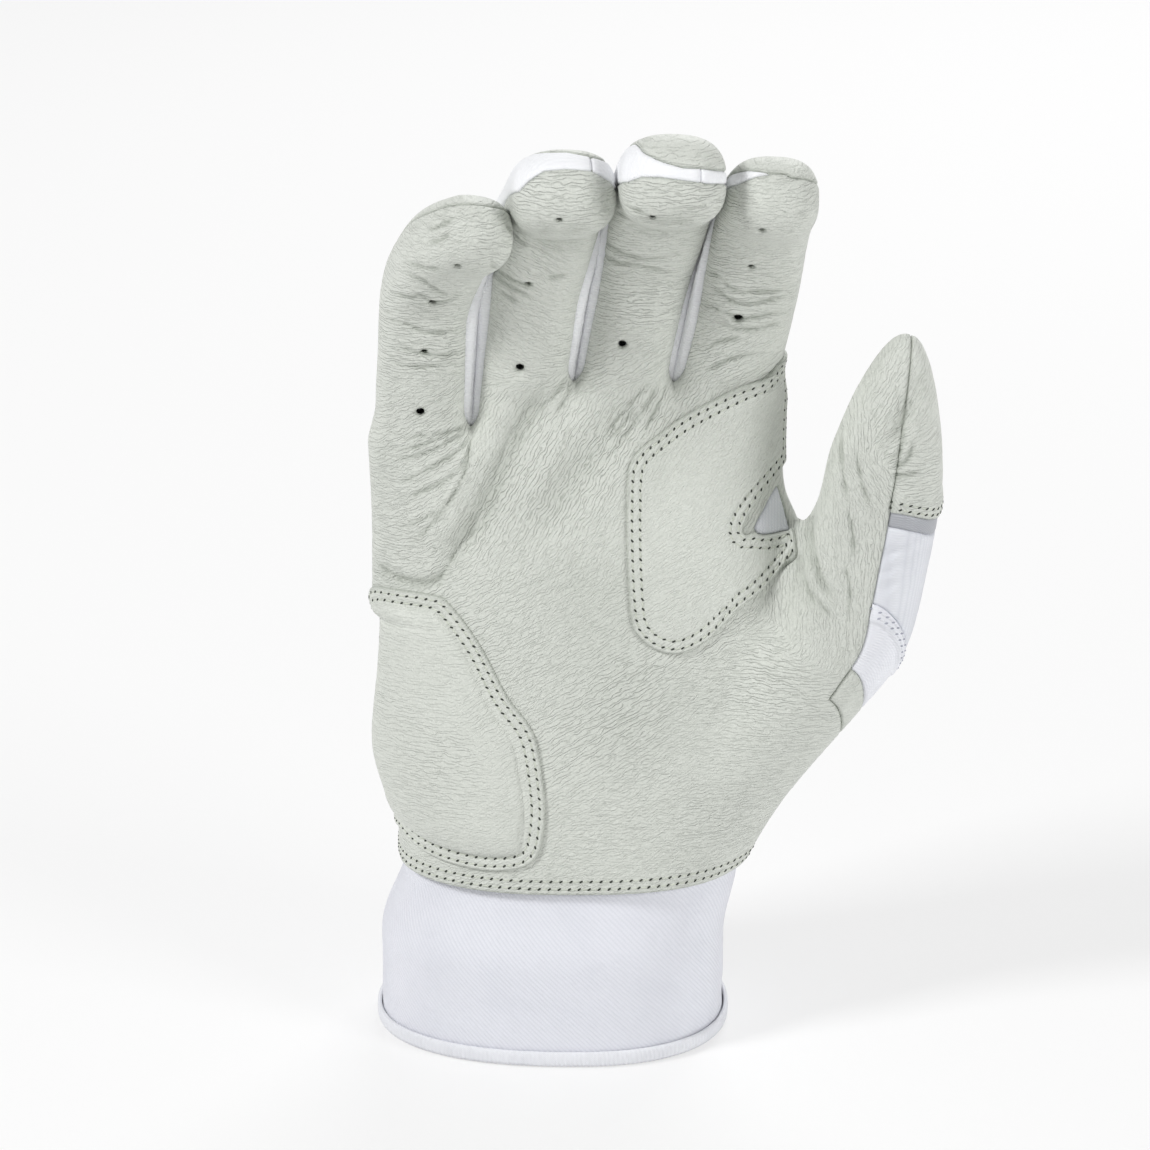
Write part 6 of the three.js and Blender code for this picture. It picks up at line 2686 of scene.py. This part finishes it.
    def build_tapes(self) -> None:
        """Makes the loop tape on the cuff and the hook tape on the strap."""
        half = self.tape / 2
        low, high = self.strap_low + self.tape_margin, self.strap_high - self.tape_margin
        headings, along, marks, z = self.grid(self.tape_ends, low, high, (60, 30), half)
        edge = self.rounded(along, marks, half)
        plans = (
            ("loop_tape", self.finishes.loop_pile, self.gap, "loop_patch", Body.GLOVE),
            ("hook_tape", self.finishes.hook_nylon, 2 * self.gap + self.tape, "hook_patch", Body.STRAP),
        )
        for name, finish, offset, node, body in plans:
            middle = offset + half
            faces = (middle - half * edge, middle + half * edge)
            place(self.wall_piece(name, finish, headings, along, z, *faces), name, node, body=body)

    def build_tab(self) -> None:
        """Makes the moulded pull tab with its grip ribs."""
        low, high = self.strap_low + self.tab_margin, self.strap_high - self.tab_margin
        headings, along, t, marks, z, edge = self.strap_grid(self.tab_from, low, high, 120)
        inner = (self.strap_offset(t) + self.strap_thickness + self.gap)[:, None]
        up, over = (ease(np.minimum(way, way[-1] - way) / self.grip_inset - 0.6) for way in (marks, along))
        ribs = ease(0.5 + 0.9 * np.cos(2 * math.pi * along / self.grip_pitch))[:, None]
        ribs = -self.grip_depth * (up[None] * over[:, None]) * ribs
        outer = inner + self.tab_thickness * (0.35 + 0.65 * edge) + ribs
        inner = np.broadcast_to(inner, z.shape)
        rubber = self.finishes.tab_rubber
        piece = self.wall_piece("moulded_pull_tab", rubber, headings, along, z, inner, outer)
        place(piece, "tab_rubber", "pull_tab", body=Body.STRAP)

    def build(self) -> list[Array]:
        """Makes the cuff and everything on it.

        Returns:
            The lines along which the strap is stitched, with the way up.
        """
        self.build_band()
        self.build_binding()
        self.build_gusset()
        self.build_tapes()
        self.build_tab()
        return self.build_strap()


@dataclass(frozen=True)
class Stitching:
    """Top stitching: a short thread between two slanted needle holes, repeated along each row."""

    pitch: float = 2.3
    thread: tuple[float, float, float] = (0.85, 0.19, 0.17)
    hole: tuple[float, float, float] = (0.5, 0.25, 0.2)
    thread_slant: float = 6.0
    hole_slant: float = 38.0

    def tree(self, name: str, finish: Material, segments: int, rings: int) -> bpy.types.NodeTree:
        """Builds the node tree that puts one round bead at each point.

        Args:
            name: The tree's name.
            finish: The beads' finish.
            segments: Corners round each bead.
            rings: Corners from end to end.

        Returns:
            The tree.
        """
        tree = bpy.data.node_groups.new(name, "GeometryNodeTree")
        for key, kind in (("Geometry", "Geometry"), ("Size", "Vector"), ("Slant", "Float")):
            tree.interface.new_socket(key, in_out="INPUT", socket_type=f"NodeSocket{kind}")
        tree.interface.new_socket("Geometry", in_out="OUTPUT", socket_type="NodeSocketGeometry")
        given = add_node(tree, "NodeGroupInput")

        def out(kind: str, inputs: dict[str | int, object], **settings: object) -> Socket:
            """The first output of a new node."""
            return add_node(tree, kind, settings, inputs).outputs[0]

        def kept(key: str) -> Socket:
            """A vector kept at each point."""
            return out("GeometryNodeInputNamedAttribute", {"Name": key}, data_type="FLOAT_VECTOR")

        points = out("GeometryNodeMeshToPoints", {"Mesh": given.outputs[0]})
        bead = out("GeometryNodeMeshUVSphere", {"Segments": segments, "Rings": rings, "Radius": 1.0})
        up = out("FunctionNodeAlignRotationToVector", {"Vector": kept("up")}, axis="Z")
        inputs = {"Rotation": up, "Vector": kept("along")}
        along = out("FunctionNodeAlignRotationToVector", inputs, axis="X", pivot_axis="Z")
        slant = out("ShaderNodeCombineXYZ", {"Z": given.outputs["Slant"]})
        inputs = {"Rotation": along, "Rotate By": slant}
        turned = out("FunctionNodeRotateRotation", inputs, rotation_space="LOCAL")
        inputs = {"Points": points, "Instance": bead, "Rotation": turned, "Scale": given.outputs["Size"]}
        real = out("GeometryNodeRealizeInstances", {0: out("GeometryNodeInstanceOnPoints", inputs)})
        smooth = out("GeometryNodeSetShadeSmooth", {0: real, "Shade Smooth": True})
        dressed = out("GeometryNodeSetMaterial", {"Geometry": smooth, "Material": finish})
        add_node(tree, "NodeGroupOutput", None, {0: dressed})
        return tree

    def beads(
        self, name: str, rows: Sequence[Array], finish: Material, size: Sequence[float], slant: float,
        shift: float, rings: int,
    ) -> Object:
        """Puts beads along rows and makes them one mesh.

        Args:
            name: The piece's name.
            rows: Lines of places with the way up at each.
            finish: The beads' finish.
            size: Half a bead's length, width and height.
            slant: How far it is turned from the row, in degrees.
            shift: Where it sits between two stitches, as a share of the pitch.
            rings: Corners from end to end.

        Returns:
            The piece.
        """
        places, along, up = [], [], []
        for row in rows:
            line = spaced(row, self.pitch)
            step = np.diff(line[:, :3], axis=0)
            places.append(line[:-1, :3] + step * shift)
            along.append(step)
            up.append(line[:-1, 3:6])
        points = np.vstack(places)
        mesh = bpy.data.meshes.new(name)
        mesh.from_pydata(to_frame(points).tolist(), [], [])
        piece = bpy.data.objects.new(name, mesh)
        bpy.context.scene.collection.objects.link(piece)
        set_values(piece, "along", np.vstack(along))
        set_values(piece, "up", np.vstack(up))
        modifier = piece.modifiers.new("stitches", "NODES")
        modifier.node_group = tree = self.tree(name, finish, 8, rings)
        sizes = {"Size": [part * MM for part in size], "Slant": math.radians(slant)}
        for item in tree.interface.items_tree:
            if item.name in sizes and item.in_out == "INPUT":
                modifier[item.identifier] = sizes[item.name]
        bake(piece)
        return piece

    def sew(
        self, name: str, rows: Sequence[Array], thread: Material, hole: Material, slot: str,
        body: Body = Body.GLOVE,
    ) -> None:
        """Makes the threads and the needle holes of all rows on one body.

        Args:
            name: What the pieces' names begin with.
            rows: Lines of places with the way up at each.
            thread: The thread's finish.
            hole: The needle holes' finish.
            slot: The material slot of both.
            body: The body that they move with.
        """
        threads = self.beads(f"{name}_thread", rows, thread, self.thread, self.thread_slant, 0.5, 5)
        place(threads, slot, body=body)
        # The needle holes are dark beads: painted shade inside the holes.
        holes = self.beads(f"{name}_needle_holes", rows, hole, self.hole, self.hole_slant, 0.0, 4)
        place(holes, slot, body=body)


def row_on(cloth: Cloth, values: Array, level: float, shortest: float = 12.0) -> list[Array]:
    """The rows along a level line of a shaped panel, as places with the way up.

    Args:
        cloth: The shaped panel.
        values: The field that is level along the rows.
        level: Its value there.
        shortest: The length below which a row is left out.

    Returns:
        The rows, with the way up.
    """
    table = np.hstack([cloth.outer, cloth.normals])
    lines = isolines(table, cloth.sheet.triangles, values, level)
    return [line for line in lines if np.linalg.norm(np.diff(line[:, :3], axis=0), axis=1).sum() > shortest]


@dataclass
class Studio:
    """A pale floor, soft lamps and the photograph's camera."""

    lens: Lens
    floor_size: float = 16.0
    floor_glow: float = 0.6
    world_strength: float = 0.27
    lamps: tuple[tuple[str, tuple[float, float, float], float, float], ...] = (
        ("key", (-1.3, -0.7, 1.3), 0.4, 21.0),
        ("fill", (1.35, -1.0, 0.7), 0.7, 13.0),
        ("rim", (0.3, 1.1, 0.9), 0.7, 7.0),
    )

    def lamp(self, name: str, place_at: Sequence[float], size: float, power: float) -> None:
        """Adds a soft square lamp that faces the glove.

        Args:
            name: The lamp's name.
            place_at: Where it stands, in metres.
            size: Its side in metres.
            power: Its power in watts.
        """
        light = bpy.data.lights.new(name, "AREA")
        light.shape, light.size, light.energy = "SQUARE", size, power
        lamp = bpy.data.objects.new(name, light)
        lamp.location = place_at
        lamp.rotation_mode = "QUATERNION"
        lamp.rotation_quaternion = (Vector((0, 0, 0.11)) - Vector(place_at)).to_track_quat("-Z", "Y")
        bpy.context.scene.collection.objects.link(lamp)

    def white(self, material: Material | bpy.types.World, shade: Sequence[float], strength: float) -> None:
        """Makes a floor or the world show white to the camera, and in gloss and glass.

        Args:
            material: The floor's material or the world.
            shade: Its colour.
            strength: How strongly the world lights the glove.
        """
        tree = material.node_tree
        tree.nodes.clear()
        is_world = isinstance(material, bpy.types.World)
        if is_world:
            base = add_node(tree, "ShaderNodeBackground", None, {"Color": shade, "Strength": strength})
        else:
            base = add_node(tree, "ShaderNodeBsdfPrincipled", None, {"Base Color": shade, "Roughness": 0.9})
        kind = "ShaderNodeBackground" if is_world else "ShaderNodeEmission"
        glow = add_node(tree, kind, None, {"Color": (1, 1, 1, 1), "Strength": 1.0})
        ray = add_node(tree, "ShaderNodeLightPath").outputs
        seen = ray["Is Camera Ray"]
        for name in ("Is Glossy Ray", "Is Transmission Ray"):
            inputs = {0: seen, 1: ray[name]}
            seen = add_node(tree, "ShaderNodeMath", {"operation": "MAXIMUM"}, inputs).outputs[0]
        if not is_world:
            inputs = {0: seen, 1: self.floor_glow}
            seen = add_node(tree, "ShaderNodeMath", {"operation": "MULTIPLY"}, inputs).outputs[0]
        both = add_node(tree, "ShaderNodeMixShader", None, {0: seen, 1: base.outputs[0], 2: glow.outputs[0]})
        end = "ShaderNodeOutputWorld" if is_world else "ShaderNodeOutputMaterial"
        add_node(tree, end, None, {"Surface": both.outputs[0]})

    def build(self) -> None:
        """Makes the floor, the lamps and the camera."""
        self.lens.build()
        half = self.floor_size / 2
        mesh = bpy.data.meshes.new("floor")
        corners = [(-half, -half, 0), (half, -half, 0), (half, half, 0), (-half, half, 0)]
        mesh.from_pydata(corners, [], [(0, 1, 2, 3)])
        floor = bpy.data.objects.new("floor", mesh)
        bpy.context.scene.collection.objects.link(floor)
        paper = bpy.data.materials.new("white_paper")
        paper.use_nodes = True
        self.white(paper, linear("#F4F4F4"), 1.0)
        mesh.materials.append(paper)
        scene = bpy.context.scene
        scene.world = bpy.data.worlds.new("studio")
        scene.world.use_nodes = True
        self.white(scene.world, (1, 1, 1, 1), self.world_strength)
        for lamp in self.lamps:
            self.lamp(*lamp)
        scene.view_settings.view_transform = "Standard"


def main() -> None:
    """Builds the glove and its studio."""
    lens = Lens()
    Studio(lens).build()
    finishes = Finishes()
    form = HandForm(Hand())
    panels = HandPanels(form, finishes, lens)
    panels.cut()
    panels.build()
    patches = Patches(panels)
    patches.build()
    strap_rows = Cuff(form, finishes).build()
    stitching = Stitching()
    rows = panels.rows
    for cloth in (patches.grip, patches.heel):
        for level in patches.rows:
            rows += row_on(cloth, cloth.rim_gap, level)
    for level in panels.hem_rows:
        rows += row_on(panels.palm, -panels.palm.sheet.table[:, Columns.hem], level)
    stitching.sew("leather_stitching", rows, finishes.thread, finishes.hole, "palm_leather")
    white = (finishes.white_thread, finishes.fabric_hole)
    stitching.sew("thumb_stitching", panels.white_rows, *white, "padded_fabric")
    stitching.sew("strap_stitching", strap_rows, *white, "strap_fabric", Body.STRAP)


if __name__ == "__main__":
    logging.basicConfig(level=logging.INFO, format="%(name)s: %(message)s")
    main()
